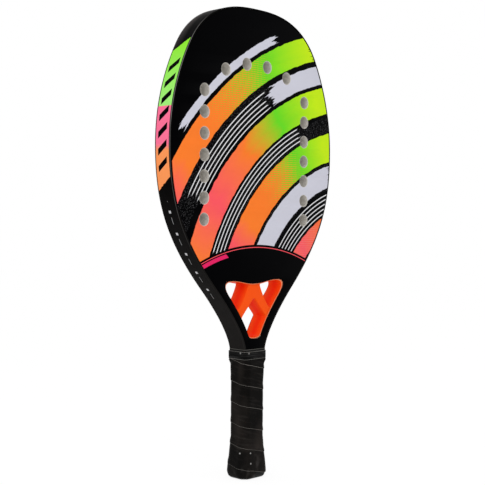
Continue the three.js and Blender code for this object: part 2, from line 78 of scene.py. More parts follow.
SIDE_FIT = 0.3 * MM  # from the inner side of the tube to what lies between the shafts
SKIN_TUCK = 1.5 * MM  # how far the skins run down under the collar
SKIN_PLAY = 0.15 * MM  # from the throat moulding out to the opening of the skins
BRIDGE_HEIGHT = 11.3 * MM  # throat bridge, between the opening and the foam core
LINER_ROUND, BRACE_ROUND = 0.3 * MM, 0.75 * MM  # round of the moulding's front and back edges
BRACE_SET_IN = 0.2 * MM  # from the front of the liner back to the brace
NECK_RISE = 7 * MM  # height over which the grip goes from the handle's section to the neck's
SWELL_RISE = 100 * MM, 118 * MM  # heights between which the grip grows thicker
CAP_RUN_OUT = 8 * MM  # height over which the cap's upper edge fades out under the tape
TAPE_SEAT = 0.3 * MM  # from the handle to the grip tape
TAPE_AIR = 0.06 * MM  # between a turn of the grip tape and the one below it
BAND_AIR = 0.05 * MM  # between the turns of the finishing tape
COLLAR_FIT = 0.05 * MM  # from the frame to the inside of the collar


# ---------------------------------------------------------------- settings


def linear(*levels):
    """Linear colour from screen levels of 0 to 255."""
    shares = (level / 255 for level in levels)
    return tuple(s / 12.92 if s <= 0.04045 else ((s + 0.055) / 1.055) ** 2.4 for s in shares)


def length(name, default, description):
    """A length in metres, shown to a tenth of a millimetre."""
    return FloatProperty(
        name=name, default=default, description=description, unit="LENGTH", subtype="DISTANCE", precision=4
    )


def angle(name, degrees, description):
    """An angle, given in degrees."""
    return FloatProperty(
        name=name, default=math.radians(degrees), description=description, unit="ROTATION", subtype="ANGLE"
    )


def share(name, default, description):
    """A share from 0 to 1."""
    return FloatProperty(name=name, default=default, description=description, min=0, max=1, subtype="FACTOR")


def number(name, default, description, low=0.0):
    """A plain number, not under a lowest value."""
    return FloatProperty(name=name, default=default, description=description, min=low)


def power(name, default, description):
    """Power of a lamp in watts."""
    return FloatProperty(name=name, default=default, description=description, min=0, unit="POWER")


def paint(name, levels, description):
    """A colour, given as screen levels of 0 to 255."""
    return FloatVectorProperty(
        name=name, default=linear(*levels), description=description, size=3, min=0, max=1, subtype="COLOR"
    )


class OutlineSettings(bpy.types.PropertyGroup):
    """Shape of the frame's outer edge, seen from the front."""

    height: length("Height", RACKET_HEIGHT, "Butt to crown")
    head_width: length("Head width", 0.2446, "Widest part of the hoop")
    widest_height: length("Widest level", 0.352, "Height at which the hoop is widest")
    turn_inset: length("Crown turn inset", 0.0261, "From the widest part in to the turn of the crown")
    turn_drop: length("Crown turn drop", 0.046, "From the top down to the turn of the crown")
    turn_slope: angle("Crown turn slope", 62.3, "Slope of the hoop at the turn of the crown")
    shoulder_width: length("Shoulder width", 0.1154, "Width over the shafts at the shoulder level")
    shoulder_height: length("Shoulder level", 0.2018, "Height of the straightest part of the shafts")
    shaft_lean: angle("Shaft lean", 42.8, "Lean of the shafts at the shoulder")
    neck_width: length("Neck width", 0.0308, "Width over both shafts at the neck")
    neck_height: length("Neck level", 0.1342, "Height of the neck, just inside the collar")
    legs_width: length("Legs width", 0.0252, "Width over both legs in the handle")
    legs_top: length("Legs top", 0.12, "Height at which the legs run straight")
    legs_end: length("Legs end", 0.015, "Height at which the legs end in the butt cap")


class FrameSettings(bpy.types.PropertyGroup):
    """Section of the frame tube, and the skins let into it."""

    thickness: length("Thickness", 0.0236, "Front to back over the head")
    legs_depth: length("Legs depth", 0.0196, "Front to back of the legs in the handle")
    tube_width: length("Tube width", 0.01, "Outer side to inner side of the tube")
    wall: length("Wall", 0.0015, "Wall of the tube")
    rounding: length("Rounding", 0.0013, "Round of the tube's outer edges round the head")
    legs_rounding: length("Legs rounding", 0.005, "Round of the outer edges of the legs in the handle")
    skin: length("Skin", 0.001, "Thickness of the printed skins")
    skin_setback: length("Skin setback", 0.0024, "From the outer side in to the edge of the skins")
    skin_edge: length("Skin edge", 0.00022, "Round of the skins' cut edges")
    seam: length("Seam", 0.00028, "Gap between a skin and the rim of the tube")


class HoleSettings(bpy.types.PropertyGroup):
    """Vent holes of the skins and the core."""

    diameter: length("Diameter", 0.013, "Drill of the vent holes")
    column_inset: length("Column inset", 0.0463, "From the widest part in to a column of holes")
    pitch: length("Pitch", 0.02185, "Between the holes of a column")
    per_column: IntProperty(name="Per column", default=7, min=1, description="Holes in one column")
    column_drop: length("Column drop", 0.0102, "Middle of a column below the widest level")
    top_drop: length("Top drop", 0.06, "Upper pair of holes below the crown")


class ThroatSettings(bpy.types.PropertyGroup):
    """Throat opening, its moulding and the brace across it."""

    top: length("Top", 0.212, "Upper edge of the throat opening")
    bottom: length("Bottom", 0.1495, "Lower end of the throat opening")
    corner_drop: length("Corner drop", 0.018, "Reach of the upper corners down the sides")
    corner_run: length("Corner run", 0.018, "Reach of the upper corners along the top")
    dip: length("Centre dip", 0.0037, "Sag of the top edge in its middle")
    heel_rise: length("Heel rise", 0.004, "Reach of the lower round up the sides")
    liner: length("Liner", 0.0009, "Wall of the moulding round the opening")
    depth: length("Depth", 0.02, "Front to back of the moulding")
    top_width: length("Brace top", 0.0124, "Width of the brace where it meets the bridge")
    knee_inset: length("Brace knee inset", 0.0015, "How far the legs of the brace are drawn in")
    apex_drop: length("Brace apex drop", 0.0185, "Underside of the brace below the top edge")
    knee_drop: length("Brace knee drop", 0.022, "Level at which the legs of the brace are drawn in")
    foot_drop: length("Brace foot drop", 0.0325, "Upper side of the feet below the top edge")
    heel_drop: length("Brace heel drop", 0.041, "Lower side of the feet below the top edge")
    softness: length("Softness", 0.0019, "Rounding of the inside corners of the moulding")
    colour: paint("Moulding colour", (254, 86, 20), "Front of the throat moulding")
    # Painted shade on the moulding's inner walls.
    wall_shade_colour: paint("Deep colour", (252, 54, 4), "Inner walls of the throat moulding")
    # Painted highlight on the moulding's front lip.
    lip_highlight_colour: paint("Lip colour", (255, 150, 108), "Thin front lip of the throat moulding")


class HandleSettings(bpy.types.PropertyGroup):
    """Handle under the tape, butt cap, eyelet and collar."""

    width: length("Width", 0.03, "Handle under the tape, side to side")
    depth: length("Depth", 0.0236, "Handle under the tape, front to back")
    cut: length("Corner cut", 0.0048, "Cut of the octagon's corners")
    rounding: length("Rounding", 0.0025, "Round of the octagon's corners")
    cap_height: length("Cap height", 0.036, "Butt cap")
    cap_flare: length("Cap flare", 0.0041, "How far the butt stands out at its widest")
    cap_lip: length("Cap lip", 0.0008, "Wall of the cap at its upper edge")
    cap_floor: length("Cap floor", 0.004, "Thickness of the cap's end")
    cap_round: length("Cap round", 0.0048, "Round of the cap's lower edge")
    flare_level: length("Flare level", 0.006, "Height at which the flare is full")
    cord_hole: length("Cord hole", 0.0096, "Hole for the wrist cord in the end of the cap")
    eyelet_bore: length("Eyelet bore", 0.007, "Way through the eyelet")
    pallet_top: length("Pallet top", 0.1202, "Upper end of the pallets")
    collar_top: length("Collar top", 0.1385, "Upper rim of the collar")
    collar_height: length("Collar height", 0.0145, "Collar between the frame and the finishing tape")
    collar_wall: length("Collar wall", 0.0003, "Wall of the collar")
    collar_skirt: length("Collar skirt", 0.1347, "Height below which the collar is a thin skirt")
    collar_cut: length("Collar cut", 0.0009, "Cut of the collar's corners")
    collar_rounding: length("Collar rounding", 0.0014, "Round of the collar's corners")


class GripSettings(bpy.types.PropertyGroup):
    """Grip tape and finishing tape."""

    width: length("Tape width", 0.02595, "Grip tape")
    thickness: length("Tape thickness", 0.0013, "Grip tape")
    edge: length("Tape edge", 0.00045, "Thickness of the tape at its skived edges")
    lap: length("Lap", 0.0036, "Overlap of one turn on the one below")
    ramp: length("Ramp", 0.0026, "Way in which the tape comes down beside a lap")
    tail: length("Tail", 0.01, "Width of the tape's first cut end")
    top_tail: length("Top tail", 0.0066, "Width of the tape's last cut end")
    bottom: length("Bottom", 0.002, "Lower end of the tape on the butt cap")
    top: length("Top", 0.1343, "Upper end of the grip tape, under the finishing tape")
    start: share("Start", 0.9, "Share of a turn by which the winding is set back")
    crown: length("Crown", 0.00016, "Swell of the tape between two laps")
    grain: length("Grain", 0.0006, "Size of the tape's fine grain")
    colour: paint("Tape colour", (8, 7, 6), "Surface of the grip tape")
    edge_colour: paint("Edge colour", (112, 108, 104), "Cut edge of the grip tape")
    top_swell: length("Top swell", 0.0007, "How much thicker the grip is under the finishing tape")
    band_width: length("Band width", 0.0084, "Finishing tape")
    band_thickness: length("Band thickness", 0.0002, "Finishing tape")
    band_seat: length("Band seat", 0.0008, "From the frame to the finishing tape")
    band_climb: length("Band climb", 0.0024, "How far the finishing tape climbs in a turn at its start")
    band_start: share("Band start", 0.7, "Share of a turn by which the finishing tape is set back")
    band_turns: number("Band turns", 2.04, "Turns of the finishing tape", low=1)
    band_level: number("Band level", 0.4, "Turn from which the finishing tape runs level")
    band_top: length("Band top", 0.1362, "Upper edge of the finishing tape where it runs level")
    band_colour: paint("Band colour", (6, 6, 6), "Finishing tape")


class PrintSettings(bpy.types.PropertyGroup):
    """Print of the faces and the side bands of the frame."""

    centre_x: length("Centre across", 0.17, "Middle of the wave print, across the face")
    centre_z: length("Centre height", 0.15, "Middle of the wave print, up the face")
    tear: length("Tear", 0.0125, "Reach of the brushed ends of the waves")
    fray: length("Fray", 0.0016, "Wobble of the long edges of the waves")
    stripe: length("Hairline pitch", 0.0046, "From one hairline to the next")
    keyline_radius: length("Keyline radius", 0.205, "Arc of the line above the throat")
    keyline_top: length("Keyline top", 0.247, "Highest point of the line above the throat")
    black: paint("Black", (1, 1, 2), "Ground of the print")
    lime: paint("Lime", (200, 240, 30), "Print colour")
    green: paint("Green", (104, 222, 40), "Print colour")
    orange: paint("Orange", (255, 128, 48), "Print colour")
    coral: paint("Coral", (255, 90, 100), "Print colour")
    magenta: paint("Magenta", (232, 40, 102), "Print colour")
    pale: paint("Pale", (208, 208, 220), "Print colour")
    white: paint("White", (238, 238, 240), "Hairlines")
    side_green: paint("Side green", (146, 236, 54), "Upper block of the side bands, at its top")
    side_mint: paint("Side mint", (162, 242, 124), "Upper block of the side bands, at its lower end")
    side_pink: paint("Side pink", (255, 116, 154), "Middle block of the side bands")
    side_orange: paint("Side orange", (255, 154, 90), "Lower block of the side bands")
    band_top: length("Side band top", 0.1153, "Upper end of a side band, along the frame from the crown")
    band_first: length("Side band first join", 0.183, "End of the green block, along the frame")
    band_second: length("Side band second join", 0.2225, "End of the pink block, along the frame")
    band_bottom: length("Side band bottom", 0.2605, "Lower end of a side band, along the frame")
    band_half: length("Side band half width", 0.0098, "From the middle of the side to the edge of a band")
    band_slant: number("Side band slant", 0.72, "Slope of the ends of a side band")


class StudioSettings(bpy.types.PropertyGroup):
    """Camera, floor and lights."""

    camera_angle: angle("Camera angle", 45.32, "Turn of the camera from the front towards the left side")
    camera_pitch: angle("Camera pitch", 1.04, "How far the camera looks down")
    camera_roll: angle("Camera roll", 0.41, "Roll of the camera")
    camera_distance: length("Camera distance", 1.101, "Camera to the racket's axis")
    camera_height: length("Camera height", 0.2719, "Camera above the floor")
    camera_aside: length("Camera aside", -0.006, "Camera beside the line to the racket's axis")
    lens: number("Lens", 76.08, "Focal length in millimetres", low=10)
    floor_size: length("Floor size", 8.0, "Side of the floor")
    world: share("World light", 0.74, "Level of the even studio light")
    key: power("Key light", 4.2, "Power of the key light")
    fill: power("Fill light", 1.4, "Power of the fill light")
    sparkle: power("Sparkle", 0.8, "Power of each small lamp")


# ---------------------------------------------------------------- curves


def rise(values, low, high):
    """Share of the way from low to high: 0 before low, 1 beyond high, and even between them."""
    return np.clip((values - low) / (high - low), 0, 1)


def eased(way):
    """Smooth step of a share of the way t, level at both ends: 3 t^2 - 2 t^3."""
    return way * way * (3 - 2 * way)


def bent_curve(start, start_angle, end, end_angle, shares):
    """Control points of a cubic curve from start to end: its handles lie along the two angles, and
    are as long as the shares of the straight distance between the ends."""
    start, end = np.array(start), np.array(end)
    chord = np.hypot(*(end - start))
    out = np.array([math.cos(start_angle), math.sin(start_angle)])
    back = np.array([math.cos(end_angle), math.sin(end_angle)])
    return np.array([start, start + chord * shares[0] * out, end - chord * shares[1] * back, end])


def along_curve(control, count):
    """Points and tangents of a cubic curve at even steps of t:
    (1-t)^3 a + 3 (1-t)^2 t b + 3 (1-t) t^2 c + t^3 d, and its derivative made one long."""
    t = np.linspace(0, 1, count + 1)[:, None]
    a, b, c, d = control
    points = (1 - t) ** 3 * a + 3 * (1 - t) ** 2 * t * b + 3 * (1 - t) * t**2 * c + t**3 * d
    slopes = (1 - t) ** 2 * (b - a) + 2 * (1 - t) * t * (c - b) + t**2 * (d - c)
    return points, slopes / np.linalg.norm(slopes, axis=1, keepdims=True)


def round_corner(start, corner, end, count):
    """Points of a cubic curve from start to end that bends towards a corner: each of its handles
    goes two thirds of the way to the corner."""
    handles = [start + (corner - start) * 2 / 3, end + (corner - end) * 2 / 3]
    return along_curve(np.array([start, *handles, end]), count)[0]


def sagging_edge(reach, level, sag, count):
    """Right half of an edge that sags in its middle, from the middle out: a cubic curve that is level
    at both ends, with handles to 0.4 and 0.55 of its reach."""
    low = level - sag
    control = [[0, low], [reach * 0.4, low], [reach * 0.55, level], [reach, level]]
    return along_curve(np.array(control), count)[0]


def arc(centre, radius, start, end, count):
    """Points on a circle from one angle to another, in radians."""
    turn = np.linspace(start, end, count)
    return np.stack([centre[0] + radius * np.cos(turn), centre[1] + radius * np.sin(turn)], axis=1)


def mirrored(points):
    """The points with their sides changed over: across becomes minus across."""
    return points * np.array([-1, 1])


def closed_by_mirror(half, last_on_axis=True):
    """A closed outline: its right half from a first point on the axis, and the mirrored half back.
    A last point that is on the axis too isn't repeated."""
    back = half[-2:0:-1] if last_on_axis else half[:0:-1]
    return np.vstack([half, mirrored(back)])


def run_of(points):
    """Way along a line of points, from 0 at the first."""
    return np.concatenate([[0], np.cumsum(np.linalg.norm(np.diff(points, axis=0), axis=1))])


def girth_of(loop):
    """Way round a closed outline."""
    return run_of(np.vstack([loop, loop[:1]]))[-1]


def even_loop(loop, count):
    """A closed outline divided evenly: its two coordinates are read off at equal steps of the way."""
    closed = np.vstack([loop, loop[:1]])
    run = run_of(closed)
    even = np.linspace(0, run[-1], count, endpoint=False)
    return np.stack([np.interp(even, run, closed[:, k]) for k in (0, 1)], axis=1)


def softened(loop, softness):
    """A closed outline with its corners rounded: it is divided evenly, every point becomes the mean
    of its neighbours under a bell curve whose width is the softness, and every third one is kept."""
    girth = girth_of(loop)
    count = int(girth / (0.22 * MM))
    offset = np.minimum(np.arange(count), count - np.arange(count)) * girth / count
    bell = np.exp(-0.5 * (offset / softness) ** 2)
    spread = np.fft.fft(bell / bell.sum())
    soft = np.fft.ifft(np.fft.fft(even_loop(loop, count), axis=0) * spread[:, None], axis=0).real
    return soft[::3]


class Outline:
    """Outer edge of the frame's right half, from the crown down to the end of the leg: a row of bent
    curves through seven places, each with its direction."""

    # For each curve: the lengths of its two handles as shares of its chord, and its number of steps.
    CURVES = (
        ((0.23, 0.49), 30),
        ((0.285, 0.395), 26),
        ((0.372, 0.428), 36),
        ((0.353, 0.213), 34),
        ((0.35, 0.35), 10),
        ((1 / 3, 1 / 3), 8),
    )

    def __init__(self, sizes):
        self.sizes = sizes
        down = -math.pi / 2
        half = sizes.head_width / 2
        places = [
            ((0, sizes.height), 0),
            ((half - sizes.turn_inset, sizes.height - sizes.turn_drop), -sizes.turn_slope),
            ((half, sizes.widest_height), down),
            ((sizes.shoulder_width / 2, sizes.shoulder_height), down - sizes.shaft_lean),
            ((sizes.neck_width / 2, sizes.neck_height), down),
            ((sizes.legs_width / 2, sizes.legs_top), down),
            ((sizes.legs_width / 2, sizes.legs_end), down),
        ]
        pieces = []
        for near, far, (shares, steps) in zip(places, places[1:], self.CURVES):
            points, tangents = along_curve(bent_curve(*near, *far, shares), steps)
            pieces.append(np.hstack([points, tangents])[1 if pieces else 0 :])
        whole = np.vstack(pieces)
        self.points = whole[:, :2]
        self.inward = np.stack([whole[:, 3], -whole[:, 2]], axis=1)
        self.run = run_of(self.points)

    def inset(self, distance):
        """The outline moved inwards along its normals."""
        return self.points + self.inward * distance

    def side(self, height, inset):
        """Half width at a height, moved inwards by an inset."""
        line = self.inset(inset)[::-1]
        return np.interp(height, line[:, 1], line[:, 0])

    def place(self, height, inset):
        """Point of the right side at a height, or points at heights, moved inwards by an inset."""
        return np.stack([self.side(height, inset), height], axis=-1)

    def above(self, bottom, inset):
        """Right half of the outline moved inwards, from the axis at the crown down to a level."""
        right = self.inset(inset)
        right = right[right[:, 1] > bottom]
        right[0, 0] = 0
        return np.vstack([right, self.place(bottom, inset)])


# The two holes that lead over from a column to the other side: shares of the column's distance from
# the axis, and of the rise from the top of the column to the upper pair.
OVER_HOLES = np.array([[0.61, 0.73], [0.205, 1.0]])


def hole_centres(sizes, holes):
    """Two columns at an even pitch, and four holes that lead over from one column to the other."""
    column = sizes.head_width / 2 - holes.column_inset
    reach = (holes.per_column - 1) * holes.pitch
    bottom = sizes.widest_height - holes.column_drop - reach / 2
    heights = bottom + np.arange(holes.per_column) * holes.pitch
    rise_over = sizes.height - holes.top_drop - heights[-1]
    right = np.stack([np.full(holes.per_column, column), heights], axis=1)
    right = np.vstack([right, [0, heights[-1]] + OVER_HOLES * [column, rise_over]])
    return np.vstack([right, mirrored(right)])


def hole_loops(sizes, holes):
    """Outlines of the vent holes: a circle round each centre."""
    turn = np.linspace(0, 2 * math.pi, 48, endpoint=False)
    circle = np.stack([np.cos(turn), -np.sin(turn)], axis=1) * holes.diameter / 2
    return [centre + circle for centre in hole_centres(sizes, holes)]


def throat_half(outline, frame_sizes, throat, inset):
    """Right half of the throat opening, from the dip in the middle of its top edge round the corner
    and down the shaft to its lowest point. A positive inset draws the opening in."""
    side = frame_sizes.tube_width + SIDE_FIT + inset
    top, bottom = throat.top - inset, throat.bottom + inset
    corner = outline.place(top, side)
    corner_start = corner - [throat.corner_run, 0]
    corner_end = outline.place(top - throat.corner_drop, side)
    heel_start = outline.place(bottom + throat.heel_rise, side)
    heel = outline.place(bottom, side)
    return np.vstack(
        [
            sagging_edge(corner_start[0], top, throat.dip, 16),
            round_corner(corner_start, corner, corner_end, 14)[1:],
            outline.place(np.linspace(corner_end[1], heel_start[1], 26)[1:], side),
            round_corner(heel_start, heel, np.array([0, bottom]), 12)[1:],
        ]
    )


def whole_throat(outline, frame_sizes, throat, inset):
    """The whole throat opening: its right half and the mirrored one."""
    return closed_by_mirror(throat_half(outline, frame_sizes, throat, inset))


def brace_windows(outline, frame_sizes, throat):
    """The three windows that the brace leaves in the opening, with softened corners. The upper ones lie
    between the opening's edge and the outer side of a leg, which is a bent curve from the top of the
    brace to its foot; the lower one lies under the two straight inner sides."""
    side, steps = frame_sizes.tube_width + SIDE_FIT, 160
    inner = throat_half(outline, frame_sizes, throat, throat.liner)
    top = np.array([throat.top_width / 2, throat.top + throat.liner])
    foot = outline.place(throat.top - throat.foot_drop, side)
    heel = outline.place(throat.top - throat.heel_drop, side)
    knee = np.array([(top[0] + foot[0]) / 2 - throat.knee_inset, throat.top - throat.knee_drop])
    leg = round_corner(top, knee, foot, steps)
    peak = np.argmax(inner[:, 0])
    edge_height = np.interp(leg[:, 0], inner[: peak + 1, 0], inner[: peak + 1, 1])
    side_reach = outline.side(leg[:, 1], side + throat.liner)
    leg = leg[(leg[:, 1] < edge_height) & (leg[:, 0] < side_reach)]
    rim = inner[(inner[:, 1] > leg[-1, 1]) & (inner[:, 0] > leg[0, 0])]
    upper = softened(np.vstack([rim, leg[::-1]]), throat.softness)
    apex = np.array([0, throat.top - throat.apex_drop])
    under = apex + (heel - apex) * np.linspace(0, 1, steps)[:, None]
    under = under[under[:, 0] < outline.side(under[:, 1], side + throat.liner)]
    low = inner[inner[:, 1] < under[-1, 1]]
    lower = softened(closed_by_mirror(np.vstack([under, low])), throat.softness)
    return upper, mirrored(upper[::-1]), lower


class Octagon:
    """Rounded octagonal section: for the share of a turn, a point and its outward direction. The
    section grows evenly when the points move out along their directions."""

    def __init__(self, half_width, half_depth, cut, rounding):
        """The eight corners are arcs of an eighth of a turn, and straight sides join them."""
        per_corner = 5
        inner = cut - rounding * (2 - math.sqrt(2))
        x, y = half_width - rounding, half_depth - rounding
        corners = [(x, y - inner), (x - inner, y), (inner - x, y), (-x, y - inner)]
        corners += [(-across, -deep) for across, deep in corners]
        bends = [np.linspace(k, k + 1, per_corner) * math.pi / 4 for k in range(8)]
        arcs = [arc(corner, rounding, bend[0], bend[-1], per_corner) for corner, bend in zip(corners, bends)]
        self.points = np.vstack([*arcs, arcs[0][:1]])
        self.turns = np.append(np.concatenate(bends), 2 * math.pi)
        run = run_of(self.points)
        self.girth = run[-1]
        self.shares = run / run[-1]

    def at(self, shares, offset=0.0):
        """Points beside the section at shares of the way round, moved out by an offset."""
        wrapped = np.mod(shares, 1)
        turn = np.interp(wrapped, self.shares, self.turns)
        x = np.interp(wrapped, self.shares, self.points[:, 0]) + offset * np.cos(turn)
        y = np.interp(wrapped, self.shares, self.points[:, 1]) + offset * np.sin(turn)
        return np.stack(np.broadcast_arrays(x, y), axis=-1)


def handle_section(handle):
    """Octagon of the handle under the tape."""
    return Octagon(handle.width / 2, handle.depth / 2, handle.cut, handle.rounding)


def neck_section(handle, outline, frame_sizes):
    """The frame's own section at the top of the collar."""
    half_width = outline.side(handle.collar_top, 0)
    return Octagon(half_width, frame_sizes.thickness / 2, handle.collar_cut, handle.collar_rounding)


def neck_ratio(outline, handle, heights):
    """The frame's width at each height by its width at the top of the collar. It is held below the
    level where the collar's skirt runs straight down over the narrowing legs."""
    return outline.side(np.maximum(heights, handle.collar_skirt), 0) / outline.side(handle.collar_top, 0)


def round_neck(section, outline, handle, shares, heights, offset):
    """Points round the neck: the section moved out by an offset and drawn in sideways by the ratio."""
    flat = section.at(shares, offset)
    return flat * np.stack(np.broadcast_arrays(neck_ratio(outline, handle, heights), 1.0), axis=-1)


def leaving_handle(handle, heights):
    """0 on the handle and 1 on the neck, with a smooth rise above the end of the pallets."""
    return eased(rise(heights, handle.pallet_top, handle.pallet_top + NECK_RISE))


def cap_offset(handle, height):
    """How far the butt cap stands outside the handle section: a flare that grows downwards as the way
    down to the power 1.15, less the round of the lower edge, and a short run-out above the cap."""
    down = rise(height, handle.cap_height, handle.flare_level)
    flare = handle.cap_lip + (handle.cap_flare - handle.cap_lip) * down**1.15
    under = np.clip(handle.cap_round - height, 0, handle.cap_round)
    rounded = flare - (handle.cap_round - np.sqrt(handle.cap_round**2 - under**2))
    above = handle.cap_lip * rise(height, handle.cap_height + CAP_RUN_OUT, handle.cap_height)
    return np.where(height >= handle.cap_height, above, rounded)


def top_swell(grip, heights):
    """Extra thickness of the grip towards its upper end, with a smooth rise over 18 mm of height."""
    return grip.top_swell * eased(rise(heights, *SWELL_RISE))


# ---------------------------------------------------------------- meshes


def placed(name, data):
    """A new object in the scene for a mesh, a curve, a lamp or a camera."""
    made = bpy.data.objects.new(name, data)
    bpy.context.scene.collection.objects.link(made)
    return made


def add_mesh(name, points, faces, uv=None):
    """A mesh object from an N x 3 array, M x 4 faces and, if given, M x 4 x 2 UV corners. Its faces
    are turned over together if the volume they enclose comes out negative."""
    a, b, c, d = (points[faces[:, k]] for k in range(4))
    volume = np.einsum("ij,ij->", a, np.cross(b, c)) + np.einsum("ij,ij->", a, np.cross(c, d))
    if volume < 0:
        faces = faces[:, ::-1]
        uv = None if uv is None else uv[:, ::-1]
    mesh = bpy.data.meshes.new(name)
    mesh.vertices.add(len(points))
    mesh.vertices.foreach_set("co", np.ascontiguousarray(points, np.float32).ravel())
    mesh.loops.add(faces.size)
    mesh.loops.foreach_set("vertex_index", np.ascontiguousarray(faces, np.int32).ravel())
    mesh.polygons.add(len(faces))
    mesh.polygons.foreach_set("loop_start", np.arange(0, faces.size, 4, dtype=np.int32))
    if uv is not None:
        layer = mesh.uv_layers.new(name="Surface")
        layer.uv.foreach_set("vector", np.ascontiguousarray(uv, np.float32).ravel())
    mesh.update(calc_edges=True)
    mesh.validate()
    return placed(name, mesh)


def grid_mesh(name, grid, uv_rows=None, uv_columns=None, wrap_rows=False, wrap_columns=True):
    """A surface from a grid of points, rows x columns x 3: a quad between each pair of rows and
    columns, and over the ends where they wrap. uv_rows and uv_columns give the map's two values, with
    one more than the grid has where that way wraps; uv_columns may differ from row to row."""
    rows, columns = grid.shape[:2]
    row = np.arange(rows if wrap_rows else rows - 1)[:, None]
    column = np.arange(columns if wrap_columns else columns - 1)[None, :]
    next_row, next_column = (row + 1) % rows, (column + 1) % columns
    corners = [
        row * columns + column,
        row * columns + next_column,
        next_row * columns + next_column,
        next_row * columns + column,
    ]
    faces = np.stack(corners, axis=-1).reshape(-1, 4)
    uv = None
    if uv_rows is not None:
        along = np.broadcast_to(uv_rows[:, None], (len(uv_rows), np.shape(uv_columns)[-1]))
        across = np.broadcast_to(uv_columns, along.shape)
        field = np.stack([along, across], axis=-1)
        corners = [
            field[row, column],
            field[row, column + 1],
            field[row + 1, column + 1],
            field[row + 1, column],
        ]
        uv = np.stack(corners, axis=2).reshape(-1, 4, 2)
    return add_mesh(name, grid.reshape(-1, 3), faces, uv)


def cut_sheet(name, loops, front, back, edge, rounds=2):
    """A flat sheet between two levels of Y, as a filled curve: the first loop is its outside and the
    others are holes, each an N x 2 array of across and up. Its cut edges are rounded."""
    curve = bpy.data.curves.new(name, "CURVE")
    curve.dimensions = "2D"
    curve.fill_mode = "BOTH"
    curve.extrude = (back - front) / 2 - edge
    curve.bevel_depth = edge
    curve.bevel_resolution = rounds
    curve.offset = -edge
    for loop in loops:
        spline = curve.splines.new("POLY")
        spline.points.add(len(loop) - 1)
        level = np.column_stack([loop, np.zeros(len(loop)), np.ones(len(loop))])
        spline.points.foreach_set("co", level.astype(np.float32).ravel())
        spline.use_cyclic_u = True
    drawn = placed(name, curve)
    graph = bpy.context.evaluated_depsgraph_get()
    mesh = bpy.data.meshes.new_from_object(drawn.evaluated_get(graph))
    bpy.data.objects.remove(drawn)
    # The curve is drawn flat. Its Y becomes the height, and its thickness lies along Y.
    mesh.transform(Matrix(((1, 0, 0, 0), (0, 0, -1, (front + back) / 2), (0, 1, 0, 0), (0, 0, 0, 1))))
    work = bmesh.new()
    work.from_mesh(mesh)
    bmesh.ops.remove_doubles(work, verts=work.verts, dist=1e-7)
    bmesh.ops.recalc_face_normals(work, faces=work.faces)
    if work.calc_volume(signed=True) < 0:
        bmesh.ops.reverse_faces(work, faces=work.faces)
    work.to_mesh(mesh)
    work.free()
    mesh.name = name
    return placed(name, mesh)


def joined(name, first, *others):
    """Several made pieces as one mesh object."""
    work = bmesh.new()
    for piece in (first, *others):
        work.from_mesh(piece.data)
    for piece in others:
        bpy.data.objects.remove(piece)
    work.to_mesh(first.data)
    work.free()
    first.name = first.data.name = name
    return first


def close_ends(strip, rows, columns):
    """Fills the first and the last section of a strip of rows x columns points."""
    work = bmesh.new()
    work.from_mesh(strip.data)
    work.verts.ensure_lookup_table()
    for start in (0, (rows - 1) * columns):
        work.faces.new([work.verts[k] for k in range(start, start + columns)])
    bmesh.ops.triangulate(work, faces=work.faces[-2:])
    bmesh.ops.recalc_face_normals(work, faces=work.faces)
    work.to_mesh(strip.data)
    work.free()


def ring_between(inner, outer, profile, heights):
    """Points of a closed ring: each row is a mix of the inner and the outer loop at one height."""
    flat = inner[None] * (1 - profile[:, None, None]) + outer[None] * profile[:, None, None]
    level = np.broadcast_to(heights[:, None, None], (*flat.shape[:2], 1))
    return np.concatenate([flat, level], axis=-1)


def finished(piece, material, node, crease=35):
    """The piece takes its finish, rides on the frame, and stands for its CAD node. Its faces are
    shaded smooth, apart from edges sharper than the crease in degrees."""
    piece.data.polygons.foreach_set("use_smooth", np.ones(len(piece.data.polygons), dtype=bool))
    piece.data.set_sharp_from_angle(angle=math.radians(crease))
    piece.data.materials.clear()
    piece.data.materials.append(material)
    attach(piece, BODY)
    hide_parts(node)


def refinished(node, material):
    """A CAD node keeps its shape and takes a procedural finish in its own slots."""
    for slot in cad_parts[node].material_slots:
        slot.material = material


# ---------------------------------------------------------------- shader maths


class Wire:
    """A number that comes out of a node. Python's signs between wires and numbers add Math nodes."""

    def __init__(self, nodes, socket):
        self.nodes = nodes
        self.socket = socket

    def maths(self, operation, *values):
        """A Math node with this wire as its first value."""
        return self.nodes.number("Math", {"operation": operation}, 0, self, *values)

    def __add__(self, other):
        return self.maths("ADD", other)

    def __sub__(self, other):
        return self.maths("SUBTRACT", other)

    def __rsub__(self, other):
        return self.nodes.number("Math", {"operation": "SUBTRACT"}, 0, other, self)

    def __mul__(self, other):
        return self.maths("MULTIPLY", other)

    def __abs__(self):
        return self.maths("ABSOLUTE")

    __radd__ = __add__
    __rmul__ = __mul__

    def step(self, low, high, to_low=0.0, to_high=1.0):
        """Even rise between two values of the wire, held outside them."""
        return self.nodes.number("MapRange", {"clamp": True}, 0, self, low, high, to_low, to_high)

    def inside(self, low, high, soft):
        """1 between two values and 0 outside them, with soft borders."""
        return self.step(low, low + soft) * self.step(high, high - soft)

    def phase(self, pitch):
        """Place from 0 to 1 within one repeat of a pattern: the fraction of the wire by the pitch."""
        return (self * (1 / pitch)).maths("FRACT")


